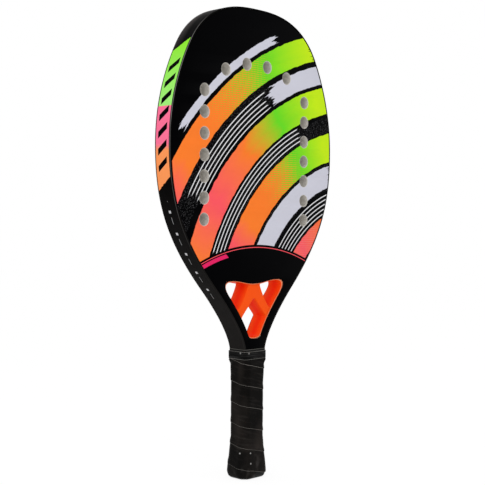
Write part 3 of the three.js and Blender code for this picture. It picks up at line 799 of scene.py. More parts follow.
class Nodes:
    """Node tree of a material or the world. Every node that it adds comes from its method node."""

    def __init__(self, owner):
        owner.use_nodes = True
        self.tree = owner.node_tree

    def plug(self, socket, value):
        """Links a wire or an output to a socket, or sets the socket to a plain value or colour."""
        if isinstance(value, Wire):
            value = value.socket
        if isinstance(value, bpy.types.NodeSocket):
            self.tree.links.new(value, socket)
        elif socket.type == "RGBA" and len(value) == 3:
            socket.default_value = (*value, 1)
        else:
            socket.default_value = value

    def node(self, kind, settings=None, *values, **named):
        """Adds a node: its settings first, such as an operation or a ramp's stops, and then the values
        or links of its sockets, in order or by name."""
        made = self.tree.nodes.new("ShaderNode" + kind)
        for setting, value in (settings or {}).items():
            if setting == "stops":
                ramp = made.color_ramp
                while len(ramp.elements) < len(value):
                    ramp.elements.new(0.5)
                for element, (place, colour) in zip(ramp.elements, value):
                    element.position = place
                    element.color = (*colour, 1)
            else:
                setattr(made, setting, value)
        for index, value in enumerate(values):
            self.plug(made.inputs[index], value)
        for socket, value in named.items():
            self.plug(made.inputs[socket], value)
        return made

    def number(self, kind, settings, output, *values, **named):
        """Adds a node and gives one of its outputs as a wire."""
        return Wire(self, self.node(kind, settings, *values, **named).outputs[output])

    def seen_rays(self):
        """1 for what the camera sees straight or in gloss and glass, and 0 for the light on the object:
        the sum of the three kinds of rays, held at 1."""
        path = self.node("LightPath")
        kinds = ("Is Camera Ray", "Is Glossy Ray", "Is Transmission Ray")
        return sum(Wire(self, path.outputs[kind]) for kind in kinds).step(0, 1)

    def end_in(self, output, mask, below, above):
        """Ends the tree in two shaders: the one above shows as far as the mask says."""
        mixed = self.node("MixShader", None, mask, below.outputs[0], above.outputs[0])
        self.plug(self.tree.nodes[output].inputs["Surface"], mixed.outputs[0])


class Finish(Nodes):
    """A material. What is the same all over its surface goes on the shader's own sockets."""

    def __init__(self, name, **constants):
        self.material = bpy.data.materials.new(name)
        super().__init__(self.material)
        self.shader = self.tree.nodes["Principled BSDF"]
        self.feed(**constants)

    def feed(self, **values):
        """Plugs values or links into the shader's sockets, and gives the material."""
        for socket, value in values.items():
            self.plug(self.shader.inputs[socket.replace("_", " ")], value)
        return self.material

    def object_place(self):
        """Place on the piece in metres, in the frame of the whole racket."""
        return self.node("TexCoord").outputs["Object"]

    def surface_place(self):
        """Place on the piece's own map."""
        return self.node("UVMap", {"uv_map": "Surface"}).outputs["UV"]

    def parts_of(self, vector):
        """The three parts of a vector as wires."""
        split = self.node("SeparateXYZ", None, vector)
        return [Wire(self, out) for out in split.outputs]

    def vector(self, x, y, z=0.0):
        """A vector of three numbers or wires."""
        return self.node("CombineXYZ", None, x, y, z).outputs[0]

    def reach_of(self, vector):
        """Length of a vector."""
        return self.number("VectorMath", {"operation": "LENGTH"}, "Value", vector)

    def moved(self, vector, scale, rotation=(0, 0, 0)):
        """A place scaled and turned, for patterns that are longer one way."""
        made = self.node("Mapping", None, Vector=vector, Scale=scale, Rotation=rotation)
        return made.outputs[0]

    def noise(self, vector, scale, detail=2.0, roughness=0.5):
        """Cloudy noise between 0 and 1, with the given number of waves to the metre."""
        values = {"Vector": vector, "Scale": scale, "Detail": detail, "Roughness": roughness}
        return self.number("TexNoise", None, "Fac", **values)

    def cells(self, vector, scale):
        """Distance to the nearest of many scattered points, in shares of their spacing."""
        return self.number("TexVoronoi", None, "Distance", Vector=vector, Scale=scale)

    def ramp(self, value, *stops):
        """Colours in a row, each a place from 0 to 1 and a colour."""
        return self.node("ValToRGB", {"stops": stops}, value).outputs["Color"]

    def mix(self, mask, below, above):
        """The colour above over the colour below, as far as the mask says."""
        made = self.node("Mix", {"data_type": "RGBA"})
        for index, value in ((0, mask), (6, below), (7, above)):
            self.plug(made.inputs[index], value)
        return made.outputs[2]

    def bump(self, height, distance, strength=1.0):
        """Relief of the surface: the height in shares of a distance in metres."""
        made = self.node("Bump", None, Height=height, Distance=distance, Strength=strength)
        self.plug(self.shader.inputs["Normal"], made.outputs["Normal"])


# ---------------------------------------------------------------- finishes

DOT_PITCH, COMB_PITCH = 20 / 9, 2.1  # dots and fine lines of the print, in millimetres
BAR_PITCH, DASH_PITCH = 17.0, 24.0  # bars of the side bands and marks of the shafts, in millimetres
FILM_EDGE = 0.033, 0.029  # heights between which the smooth film on the butt comes in, in metres

# Painted glints: pale spots on small domes on the butt, and at two small fold marks in the finishing tape.
BUTT_GLINTS = (-0.0179, -0.0075, 0.0284), (-0.0092, -0.0147, 0.0284), (-0.0098, -0.0159, 0.0176)
BAND_GLINTS = (-0.0165, -0.0063, 0.1348), (-0.0109, -0.0127, 0.1346)


def beside_holes(finish, x, z):
    """Millimetres from the middle of the nearest vent hole, as the least of the distances to the holes
    of one side. The other side mirrors them."""
    scene = bpy.context.scene
    centres = hole_centres(scene.racket_outline, scene.racket_holes) / MM
    x, nearest = abs(x), None
    for across, up in centres[: len(centres) // 2]:
        reach = finish.reach_of(finish.vector(x - across, z - up))
        nearest = reach if nearest is None else nearest.maths("MINIMUM", reach)
    return nearest


def printed_skin(art, name, turned):
    """Black lacquered skin with wave bands round one centre: each band lies between two radii and two
    angles. Its long edges wobble a little and its ends are brushed out along the band. Lengths in it
    are in millimetres and angles in degrees."""
    finish = Finish(name, Roughness=0.24, Specular_IOR_Level=0.012)
    place = finish.object_place()
    x, _, z = finish.parts_of(place)
    x, z = x * (-IN_MM if turned else IN_MM), z * IN_MM
    across, up = art.centre_x / MM - x, z - art.centre_z / MM
    reach = (across * across + up * up).maths("SQRT")
    turn = up.maths("ARCTAN2", across) * (180 / math.pi)
    bristle = finish.noise(finish.vector(reach * 0.42, turn * 0.03), 1.0, 3.0, 0.62) - 0.5
    splash = finish.noise(finish.vector(reach * 0.09, turn * 0.07, 7.0), 1.0, 2.0) - 0.5
    wobble = (finish.noise(finish.vector(x, z), 0.09, 4.0, 0.6) - 0.5) * (2 * art.fray / MM)
    tear = art.tear / MM / 5
    torn_turn = turn + bristle * (3.2 * tear) + splash * (2.6 * tear)
    torn_reach = reach + wobble

    def band(low, high, start, end, edge=torn_reach):
        """1 between two radii and two angles."""
        return edge.inside(low, high, 0.3) * torn_turn.inside(start, end, 0.25)

    def hairlines(low, high, start, end):
        """Thin lines at an even pitch within a band, with clean long edges."""
        lines = (reach - low).phase(art.stripe / MM).inside(0.0, 0.3, 0.07)
        return lines * band(low, high, start, end, edge=reach)

    # The arc above the throat: how far a place lies above its line, and where the print may be.
    drop = z - (art.keyline_top - art.keyline_radius) / MM
    sweep = (x * x + drop * drop).maths("SQRT") - art.keyline_radius / MM
    above = sweep.step(2.6, 2.9)

    speck = finish.noise(place, 950.0, 1.0).step(0.6, 0.68) * 0.55
    quiet = band(170, 199, 20, 84) + band(233, 250, 14, 80) + band(292, 322, 14, 60)
    speckled = finish.mix(speck, art.black, linear(96, 96, 98))
    colour = finish.mix(quiet.step(0, 1) * above, art.black, speckled)

    sunset = finish.ramp(
        (turn + splash * 6).step(18, 88),
        (0.0, art.orange),
        (0.2, art.coral),
        (0.42, art.orange),
        (0.6, art.green),
        (0.8, art.lime),
    )
    dot = finish.reach_of(finish.vector(x.phase(DOT_PITCH) - 0.5, z.phase(DOT_PITCH) - 0.5))
    halftone = (dot - (turn + splash * 6).step(42, 66) * 0.72).step(0.05, -0.05)
    meadow = finish.mix(halftone, art.orange, art.green)
    meadow = finish.mix((turn + splash * 4).step(62, 74), meadow, art.lime)
    meadow = finish.mix((turn + splash * 4).step(34, 26), meadow, art.coral)
    glowing = (0.0, art.orange), (0.45, art.coral), (0.9, art.orange)
    ember = finish.ramp((turn + splash * 8).step(22, 74), *glowing)
    comb = z.phase(COMB_PITCH).inside(0.1, 0.5, 0.2)
    ember = finish.mix(comb * 0.16 * turn.inside(30, 60, 4), ember, art.white)

    layers = [
        (hairlines(146, 168, 30, 78), art.white),
        (band(124, 143, 34, 92), ember),
        (band(172, 196, 16, 74), art.pale),
        (band(200, 232, 11, 88), meadow),
        (hairlines(236, 252, 22, 66), art.white),
        (band(254, 284, 17, 80), sunset),
        (hairlines(288, 311, 30, 58), art.white),
        (band(288, 309, 60, 81), art.pale),
        (band(315, 343, 24, 75), meadow),
        (band(347, 356, 38, 67), art.pale),
    ]
    for mask, over in layers:
        colour = finish.mix(mask * above, colour, over)
    colour = finish.mix(sweep.inside(-0.45, 0.45, 0.15), colour, art.coral)
    accent = sweep.inside(-6.2, -1.6, 0.3) * (x + sweep * 0.9).inside(-90, -46, 0.3)
    colour = finish.mix(accent, colour, art.magenta)
    rim = beside_holes(finish, x, z).step(6.96, 6.7) * 0.9
    colour = finish.mix(rim, colour, linear(214, 210, 202))

    ink = finish.noise(place, 60.0, 3.0)
    finish.bump(finish.noise(place, 1400.0, 1.0) + finish.noise(place, 160.0, 1.0) * 0.6, 0.00002, 0.4)
    return finish.feed(Base_Color=colour, Roughness=ink.step(0.3, 0.7, 0.16, 0.26))


def lacquered_frame(art):
    """Black lacquer over the laminate. The map's first value is the way along the frame from the crown
    and its second the place across the tube, so each side carries a slanted block of three colours.
    Lengths in it are in millimetres. The lower frame has a painted sheen, the crown's side a painted
    highlight, and the edges of the sides a thin painted highlight in patches."""
    finish = Finish("lacquered_laminate", Roughness=0.5, Specular_IOR_Level=0.012)
    place = finish.object_place()
    along, around, _ = finish.parts_of(finish.surface_place())
    _, y, z = finish.parts_of(place)
    run, level = abs(along) * IN_MM, y * -IN_MM
    top, first, second = art.band_top / MM, art.band_first / MM, art.band_second / MM
    bottom, half = art.band_bottom / MM, art.band_half / MM
    outside = around.step(0.5, 0.499)

    slant = run + level * art.band_slant
    ragged = (finish.noise(place, 420.0, 3.0) - 0.5) * 3.0
    block = (slant + ragged).inside(top, bottom, 0.3) * abs(level).step(half, half - 0.25) * outside
    tint = finish.mix(run.step(top, first), art.side_green, art.side_mint)
    tint = finish.mix(run.step(first - 0.4, first + 0.4), tint, art.side_pink)
    tint = finish.mix(run.step(second - 2, second + 5), tint, art.side_orange)
    bars = slant.phase(BAR_PITCH).inside(0.0, 0.42, 0.02) * abs(level).step(6.6, 6.3)
    bars = bars * slant.inside(top + 14, bottom - 16, 0.3)
    tint = finish.mix(bars, tint, art.black)

    weave = finish.noise(place, 300.0, 3.0)
    ground = finish.mix(weave.step(0.35, 0.75) * 0.5, linear(3, 3, 3), linear(10, 9, 9))
    # Painted sheen: the frame is paler towards the shafts.
    ground = finish.mix(z.step(0.31, 0.17) * 0.7, ground, linear(36, 34, 33))
    # Painted highlight on the crown's side, growing towards its back edge.
    crown = level.step(1, -11.5) * z.step(0.44, 0.48)
    ground = finish.mix(crown, ground, linear(78, 73, 73))
    # Painted highlight: a thin pale line in patches along the edges of the sides, strongest on the upper
    # hoop.
    patches = finish.noise(place, 55.0, 3.0).step(0.2, 0.75, 0.35, 1.0)
    wear_and_sheen = abs(level).inside(half + 0.95, half + 1.65, 0.2) * patches
    wear_and_sheen = wear_and_sheen * z.step(0.24, 0.44, 0.04, 1.0) * run.step(72, 112, 0.06, 0.95)
    ground = finish.mix(wear_and_sheen, ground, linear(150, 148, 145))

    dashes = run.phase(DASH_PITCH)
    marks = dashes.inside(0.0, 0.13, 0.01) * abs(level).step(1.6, 1.4)
    marks = marks + dashes.inside(0.3, 0.62, 0.01) * abs(level).step(0.45, 0.3) * 0.45
    marks = marks * run.inside(278, 402, 0.5) * outside
    colour = finish.mix(block, ground, tint)
    colour = finish.mix(marks.step(0, 1), colour, linear(196, 196, 198))
    finish.bump(finish.noise(place, 900.0, 2.0) + weave * 0.5, 0.00003, 0.35)
    gloss = finish.noise(place, 90.0, 2.0).step(0.3, 0.7, 0.46, 0.6)
    return finish.feed(Base_Color=colour, Roughness=gloss)


def cut_foam():
    """Grey closed-cell foam: small cells as bump, with painted shade in their pits, and a fine mottle."""
    finish = Finish("core_foam", Roughness=0.85, Specular_IOR_Level=0.2)
    place = finish.object_place()
    cell = finish.cells(place, 1500.0)
    mottle = finish.noise(place, 260.0, 3.0)
    colour = finish.mix(mottle.step(0.3, 0.7), linear(188, 184, 177), linear(216, 212, 205))
    # Painted shade in the pits of the cells.
    colour = finish.mix(cell.step(0.0, 0.28, 0.35, 0.0), colour, linear(130, 127, 121))
    finish.bump(cell, 0.0002, 0.5)
    return finish.feed(Base_Color=colour, Roughness=mottle.step(0.3, 0.7, 0.78, 0.92))


def orange_moulding(throat):
    """Bright moulded plastic with painted shade, deeper and redder away from its front and back, with a
    painted highlight along its front lip and a fine mould texture."""
    finish = Finish("orange_moulding", Roughness=0.36, Specular_IOR_Level=0.03)
    place = finish.object_place()
    _, y, _ = finish.parts_of(place)
    depth = abs(y) * IN_MM
    half = throat.depth / MM / 2
    grain = finish.noise(place, 700.0, 2.0)
    # Painted shade: the walls turn deeper red away from the front and back.
    wall = (depth + grain * 0.5).step(9.9, 1.5)
    colour = finish.mix(wall, throat.colour, throat.wall_shade_colour)
    # Painted highlight along the thin front lip.
    colour = finish.mix(depth.step(half - 0.17, half - 0.12), colour, throat.lip_highlight_colour)
    finish.bump(grain, 0.00003, 0.4)
    return finish.feed(Base_Color=colour, Roughness=grain.step(0.3, 0.7, 0.32, 0.42))


def spots(finish, place, middles, radius):
    """Small round domes of height 1 round the given points: each falls evenly with the distance."""
    settings = {"operation": "DISTANCE"}
    apart = [finish.number("VectorMath", settings, "Value", place, middle) for middle in middles]
    return sum(one.step(radius, 0.0) for one in apart).step(0, 1)


def wound_tape(grip):
    """Satin synthetic leather: a fine grain with painted shade in its pits, faint stretch marks along the
    strip, and a paler cut edge. The map's first value is the way along the strip and its second the way
    across it. The butt has a smooth film over it and is darker there, with painted shade in the hollows
    of its creases and three small domes with painted glints."""
    finish = Finish("grip_tape", Specular_IOR_Level=0.03, Coat_Roughness=0.12, Coat_IOR=1.4)
    place = finish.object_place()
    _, _, z = finish.parts_of(place)
    along, across, _ = finish.parts_of(finish.surface_place())
    grain = finish.cells(place, 1 / grip.grain)
    stretch = finish.noise(finish.vector(along * 60, across * 420), 1.0, 3.0)
    wear_and_sheen = finish.noise(place, 45.0, 3.0)
    broad = finish.noise(finish.moved(place, (30, 30, 12)), 1.0, 2.0) - z * 1.6
    colour = finish.mix(broad.step(0.28, 0.56), grip.colour, linear(46, 41, 38))
    colour = finish.mix(wear_and_sheen.step(0.35, 0.7) * 0.35, colour, linear(22, 20, 18))
    streaks = stretch.step(0.52, 0.74) * wear_and_sheen.step(0.35, 0.6) * (0.55 - z * 2.2)
    colour = finish.mix(streaks, colour, linear(58, 54, 51))
    # Painted shade in the pits of the grain.
    colour = finish.mix(grain.step(0.0, 0.3, 0.3, 0.0), colour, linear(8, 8, 8))

    crease = finish.noise(finish.moved(place, (170, 170, 110), (0.4, 0.3, 0)), 1.0, 2.0, 0.4)
    film = z.step(*FILM_EDGE)
    # The butt is darker under the film, with painted shade in the hollows of the creases.
    colour = finish.mix(film * (crease.step(0.62, 0.45) * 0.3 + 0.45), colour, linear(7, 7, 7))
    edge = across.inside(-0.0006, 0.0005, 0.00015) * wear_and_sheen.step(0.3, 0.6, 0.45, 1.0)
    colour = finish.mix(edge, colour, grip.edge_colour)
    # Painted glints: pale spots on three small domes on the butt.
    glinting_specks = spots(finish, place, BUTT_GLINTS, 0.0014)
    colour = finish.mix(glinting_specks.step(0.25, 0.75), colour, linear(158, 156, 154))
    domes = glinting_specks * (2 - glinting_specks)
    finish.bump(grain * 0.5 + stretch * 0.6 + crease * film * 5 + domes * 7, 0.00008, 0.5)
    gloss = film * crease.step(0.55, 0.75) * 0.3 + glinting_specks.step(0.0, 0.2)
    rough = wear_and_sheen.step(0.3, 0.7, 0.36, 0.5) + edge * 0.2
    return finish.feed(Base_Color=colour, Roughness=rough, Coat_Weight=gloss)


def stretched_band(grip):
    """Glossy vinyl tape: long fine ridges where it was stretched, slightly paler edges that are a painted
    highlight, and two small raised fold marks with painted glints."""
    finish = Finish("finishing_tape", Specular_IOR_Level=0.03, Coat_Roughness=0.12, Coat_IOR=1.4)
    place = finish.object_place()
    along, across, _ = finish.parts_of(finish.surface_place())
    ridge = finish.noise(finish.vector(along * 40, across * 1600), 1.0, 2.0)
    dent = finish.noise(place, 220.0, 2.0)
    colour = finish.mix(ridge.step(0.45, 0.75), grip.band_colour, linear(30, 29, 28))
    # Painted highlight along both edges of the tape.
    lower_edge = across.inside(-0.001, 0.00045, 0.0001)
    upper_edge = across.inside(grip.band_width - 0.00045, 1.0, 0.0001)
    edge = (lower_edge + upper_edge).step(0, 1) * ridge.step(0.3, 0.6, 0.4, 1.0)
    colour = finish.mix(edge, colour, linear(112, 110, 106))
    # Painted glints on two small raised fold marks.
    glinting_folds = spots(finish, place, BAND_GLINTS, 0.0019)
    colour = finish.mix(glinting_folds.step(0.2, 0.8), colour, linear(140, 138, 136))
    finish.bump(ridge * 0.5 + dent + glinting_folds * 2, 0.00014, 0.5)
    rough, gloss = ridge.step(0.3, 0.7, 0.16, 0.28), ridge.step(0.5, 0.68) * 0.5
    return finish.feed(Base_Color=colour, Roughness=rough, Coat_Weight=gloss)


def moulded_plastic(name, shade, roughness, scale=800.0):
    """Plain moulded plastic with a fine spark texture and slightly uneven gloss."""
    finish = Finish(name, Specular_IOR_Level=0.1)
    place = finish.object_place()
    spark = finish.noise(place, scale, 2.0)
    tone = finish.noise(place, 70.0, 2.0)
    paler = linear(*(level * 1.35 for level in shade))
    colour = finish.mix(tone.step(0.3, 0.7), linear(*shade), paler)
    finish.bump(spark, 0.00004, 0.4)
    rough = spark.step(0.3, 0.7, roughness - 0.06, roughness + 0.06)
    return finish.feed(Base_Color=colour, Roughness=rough)


def collar_rubber(handle):
    """Soft black rubber with fine flow lines round it and a paler upper rim."""
    finish = Finish("collar_rubber", Specular_IOR_Level=0.06)
    place = finish.object_place()
    _, _, z = finish.parts_of(place)
    flow = finish.noise(finish.moved(place, (60, 60, 1400)), 1.0, 2.0)
    colour = finish.mix(flow.step(0.4, 0.7), linear(9, 9, 9), linear(26, 25, 24))
    rim = (z * IN_MM - handle.collar_top / MM).inside(-0.55, 0.6, 0.2)
    colour = finish.mix(rim * flow.step(0.2, 0.5, 0.5, 1.0), colour, linear(92, 90, 86))
    finish.bump(flow, 0.00006, 0.5)
    return finish.feed(Base_Color=colour, Roughness=flow.step(0.3, 0.7, 0.3, 0.46))


def pressed_laminate():
    """Raw fibre laminate: two crossed sets of threads, as the product of two sines, under thin resin."""
    finish = Finish("raw_laminate", Specular_IOR_Level=0.5)
    place = finish.object_place()
    x, _, z = finish.parts_of(place)
    over = ((x + z) * 420).maths("SINE") * ((z - x) * 420).maths("SINE")
    tow = over.step(-0.3, 0.3)
    colour = finish.mix(tow, linear(18, 18, 19), linear(40, 40, 42))
    finish.bump(tow, 0.00005, 0.4)
    return finish.feed(Base_Color=colour, Roughness=tow.step(0, 1, 0.3, 0.45))


def paper_floor():
    """White paper: what the camera and reflections see is mostly plain white, and the rest keeps the
    racket's soft shadow."""
    finish = Finish("floor_paper", Roughness=0.9, Specular_IOR_Level=0.1)
    grain = finish.noise(finish.object_place(), 40.0, 2.0)
    finish.feed(Base_Color=finish.mix(grain, linear(243, 243, 243), linear(247, 247, 247)))
    glow = finish.node("Emission", None, Color=(1.0, 1.0, 1.0), Strength=1.05)
    finish.end_in("Material Output", finish.seen_rays() * 0.86, finish.shader, glow)
    return finish.material


# ---------------------------------------------------------------- pieces


def sizes():
    """The outline of the frame, and the settings of the frame, the throat, the handle and the grip."""
    scene = bpy.context.scene
    outline = Outline(scene.racket_outline)
    return outline, scene.racket_frame, scene.racket_throat, scene.racket_handle, scene.racket_grip


def faced(made, right, up, back, place):
    """Turns an object so that its own X, Y and Z lie along three directions, and puts it in place."""
    columns = np.column_stack([right, up, back, place])
    made.matrix_world = Matrix(np.vstack([columns, [0, 0, 0, 1]]).tolist())


class RACKET_OT_camera(bpy.types.Operator):
    """Places the camera at the photograph's viewing angle"""

    bl_idname = "racket.camera"
    bl_label = "Camera"

    def execute(self, context):
        """The view is turned about the upright axis, tipped down by the pitch and then rolled."""
        studio = context.scene.racket_studio
        turn, pitch, roll = studio.camera_angle, studio.camera_pitch, studio.camera_roll
        aside = np.array([math.cos(turn), -math.sin(turn), 0])
        ahead = np.array([math.sin(turn), math.cos(turn), 0])
        up = np.array([0, 0, 1])
        place = -ahead * studio.camera_distance + up * studio.camera_height + aside * studio.camera_aside
        view = ahead * math.cos(pitch) - up * math.sin(pitch)
        head = up * math.cos(pitch) + ahead * math.sin(pitch)
        right = aside * math.cos(roll) + head * math.sin(roll)
        head = head * math.cos(roll) - aside * math.sin(roll)
        data = bpy.data.cameras.new("camera")
        data.lens = studio.lens
        data.sensor_width = 36
        data.clip_start = 0.01
        camera = placed("camera", data)
        faced(camera, right, head, -view, place)
        context.scene.camera = camera
        return {"FINISHED"}


def tube_section(frame_sizes, half_depth, radius):
    """Outside of the tube as across-in and front-to-back pairs, from the middle of the outer side over
    the front to the inner side and over the back: a rounded outer edge, a step for the skin, and a
    rounded inner edge."""
    rim = max(frame_sizes.skin_setback - frame_sizes.seam, radius + 0.3 * MM)
    inner_round, rim_round = 1.2 * MM, frame_sizes.skin_edge
    width, flat = frame_sizes.tube_width, half_depth - frame_sizes.skin
    front = np.vstack(
        [
            [[0, 0], [0, half_depth * 0.3]],
            arc((radius, half_depth - radius), radius, math.pi, math.pi / 2, 12),
            arc((rim - rim_round, half_depth - rim_round), rim_round, math.pi / 2, 0, 4),
            [[rim, flat]],
            arc((width - inner_round, flat - inner_round), inner_round, math.pi / 2, 0, 5),
        ]
    )
    return np.vstack([front * np.array([1, -1]), front[:0:-1]])


def bore_section(frame_sizes, half_depth, radius, count):
    """Inside of the tube with as many points as the outside, as a rounded rectangle."""
    wall, inner_round = frame_sizes.wall, 1 * MM
    near, far = wall, frame_sizes.tube_width - wall
    high = half_depth - frame_sizes.skin - wall
    radius = max(radius - wall, wall)
    front = np.vstack(
        [
            [[near, 0]],
            arc((near + radius, high - radius), radius, math.pi, math.pi / 2, 10),
            arc((far - inner_round, high - inner_round), inner_round, math.pi / 2, 0, 6),
            [[far, 0]],
        ]
    )
    other_way = np.array([1, -1])
    return even_loop(np.vstack([front, front[-2:0:-1] * other_way]) * other_way, count)


class RACKET_OT_frame(bpy.types.Operator):
    """Carries the tube's section round the hoop and down both shafts and legs"""

    bl_idname = "racket.frame"
    bl_label = "Frame tube"

    def execute(self, context):
        """Each row of the grid is one section, and the rows go round the outside and back in the bore.
        The section's depth and its round change smoothly from the neck to the legs."""
        outline, frame_sizes, *_ = sizes()
        ease = eased(rise(outline.points[:, 1], outline.sizes.legs_top, outline.sizes.neck_height))
        legs_half = frame_sizes.legs_depth / 2
        half = legs_half + (frame_sizes.thickness / 2 - legs_half) * ease
        radius = frame_sizes.legs_rounding + (frame_sizes.rounding - frame_sizes.legs_rounding) * ease
        outside = np.stack([tube_section(frame_sizes, *one) for one in zip(half, radius)])
        count = outside.shape[1]
        inside = np.stack([bore_section(frame_sizes, *one, count) for one in zip(half, radius)])

        def ring(section, side):
            """Sections set out along one side of the frame: 1 is the right and -1 the left."""
            flat = outline.points[:, None, :] + outline.inward[:, None, :] * section[..., :1]
            return np.stack([flat[..., 0] * side, section[..., 1], flat[..., 1]], axis=-1)

        def whole(section):
            """Sections from the end of the right leg over the crown to the end of the left leg."""
            return np.concatenate([ring(section, 1)[::-1], ring(section, -1)[1:]])

        grid = np.concatenate([whole(outside), whole(inside)[::-1]])
        run = np.concatenate([outline.run[::-1], -outline.run[1:]])
        rows = np.concatenate([run, run[::-1], run[:1]])
        # The map's second value stays under a half on the outside, and is above it in the bore.
        across = np.tile(np.linspace(0, 0.4, count + 1), (len(rows), 1))
        across[len(run) :] = 0.9
        tube = grid_mesh("frame_shell", grid, rows, across, wrap_rows=True)
        lacquer = lacquered_frame(context.scene.racket_print)
        finished(tube, lacquer, "frame_tube", crease=32)
        return {"FINISHED"}


class RACKET_OT_faces(bpy.types.Operator):
    """Makes the two printed skins, with their vent holes and the throat opening"""

    bl_idname = "racket.faces"
    bl_label = "Printed faces"

    def execute(self, context):
        """Both skins have one outline: they end under the collar, and a hair outside the moulding."""
        outline, frame_sizes, throat, handle, _ = sizes()
        half_skin = outline.above(handle.collar_top - SKIN_TUCK, frame_sizes.skin_setback)
        edge = closed_by_mirror(half_skin, last_on_axis=False)
        opening = whole_throat(outline, frame_sizes, throat, -SKIN_PLAY)
        loops = [edge, opening, *hole_loops(outline.sizes, context.scene.racket_holes)]
        half, skin = frame_sizes.thickness / 2, frame_sizes.skin
        for side, low, turned in (("front", -half, False), ("back", half - skin, True)):
            face = cut_sheet("face_" + side, loops, low, low + skin, frame_sizes.skin_edge)
            printed = printed_skin(context.scene.racket_print, "printed_face_" + side, turned)
            finished(face, printed, side + "_skin")
        return {"FINISHED"}


class RACKET_OT_core(bpy.types.Operator):
    """Makes the drilled foam core between the skins"""

    bl_idname = "racket.core"
    bl_label = "Foam core"

    def execute(self, context):
        """The core fills the hoop above the throat bridge, and its lower edge sags as the opening's."""
        outline, frame_sizes, throat, _, _ = sizes()
        side = frame_sizes.tube_width + SIDE_FIT
        level = throat.top + BRIDGE_HEIGHT
        reach = outline.side(throat.top, side) - throat.corner_run
        lower = sagging_edge(reach, level, throat.dip, 12)[::-1]
        edge = closed_by_mirror(np.vstack([outline.above(level, side), lower]))
        loops = [edge, *hole_loops(outline.sizes, context.scene.racket_holes)]
        half = frame_sizes.thickness / 2 - frame_sizes.skin
        core = cut_sheet("core_plate", loops, -half, half, 0.05 * MM, rounds=0)
        finished(core, cut_foam(), "core_foam")
        return {"FINISHED"}


class RACKET_OT_throat(bpy.types.Operator):
    """Makes the throat moulding: a liner round the opening and the brace across it"""

    bl_idname = "racket.throat"
    bl_label = "Throat moulding"

    def execute(self, context):
        """The liner lies between two outlines of the opening. The brace is a sheet with three windows,
        slightly thinner and with rounder edges, which ends within the liner."""
        outline, frame_sizes, throat, _, _ = sizes()
        insets = 0.0, throat.liner / 2, throat.liner
        outside, middle, inside = (whole_throat(outline, frame_sizes, throat, inset) for inset in insets)
        half = throat.depth / 2
        liner = cut_sheet("throat_moulding", [outside, inside[::-1]], -half, half, LINER_ROUND, rounds=3)
        windows = brace_windows(outline, frame_sizes, throat)
        level = half - BRACE_SET_IN
        brace = cut_sheet("throat_brace", [middle, *windows], -level, level, BRACE_ROUND, rounds=4)
        moulding = joined("throat_moulding", liner, brace)
        finished(moulding, orange_moulding(throat), "throat_insert", crease=50)
        return {"FINISHED"}


def tape_section(grip, lower, upper, lift, fine=6):
    """Section of the lapped tape as height and offset pairs, closed, from the lower edge up along the
    inside and back along the outside. The lower edge rides over the turn below and rounds over; the
    outside comes down beside the lap, swells a little, and is skived to the upper edge."""
    way = np.linspace(0, 1, fine)
    smooth = eased(way)
    full, edge = grip.thickness, grip.edge
    narrow = min((upper - lower) / grip.tail, 1)
    lap, ramp = grip.lap * narrow, grip.ramp * narrow
    lapped, skived = lower + lap, upper - lap
    seated = lapped + ramp
    over, beside = (full + TAPE_AIR) * lift, (edge + TAPE_AIR) * lift
    inside = [
        np.stack([lower + (lapped - lower) * way, over + (beside - over) * way], axis=1),
        np.stack([lapped + (seated - lapped) * way[1:], beside * (1 - smooth[1:])], axis=1),
        [[(seated + skived) / 2, 0.0], [upper, 0.0]],
    ]
    swell = np.sin(np.linspace(0, math.pi, 10))[1:-1] * grip.crown
    middle = np.linspace(skived, seated, 10)[1:-1]
    proud = over + edge
    down = proud + (full - proud) * smooth
    outside = [
        [[upper, edge * 0.6], [upper - 0.2 * MM, edge]],
        [[skived, full]],
        np.stack([middle, full + swell], axis=1),
        np.stack([seated + (lower + 0.9 * MM - seated) * way, down[::-1]], axis=1),
        [
            [lower + 0.35 * MM, proud * 0.985 + edge * 0.02],
            [lower + 0.08 * MM, over + edge * 0.72],
            [lower, over + edge * 0.4],
        ],
    ]
    return np.vstack(inside + outside)


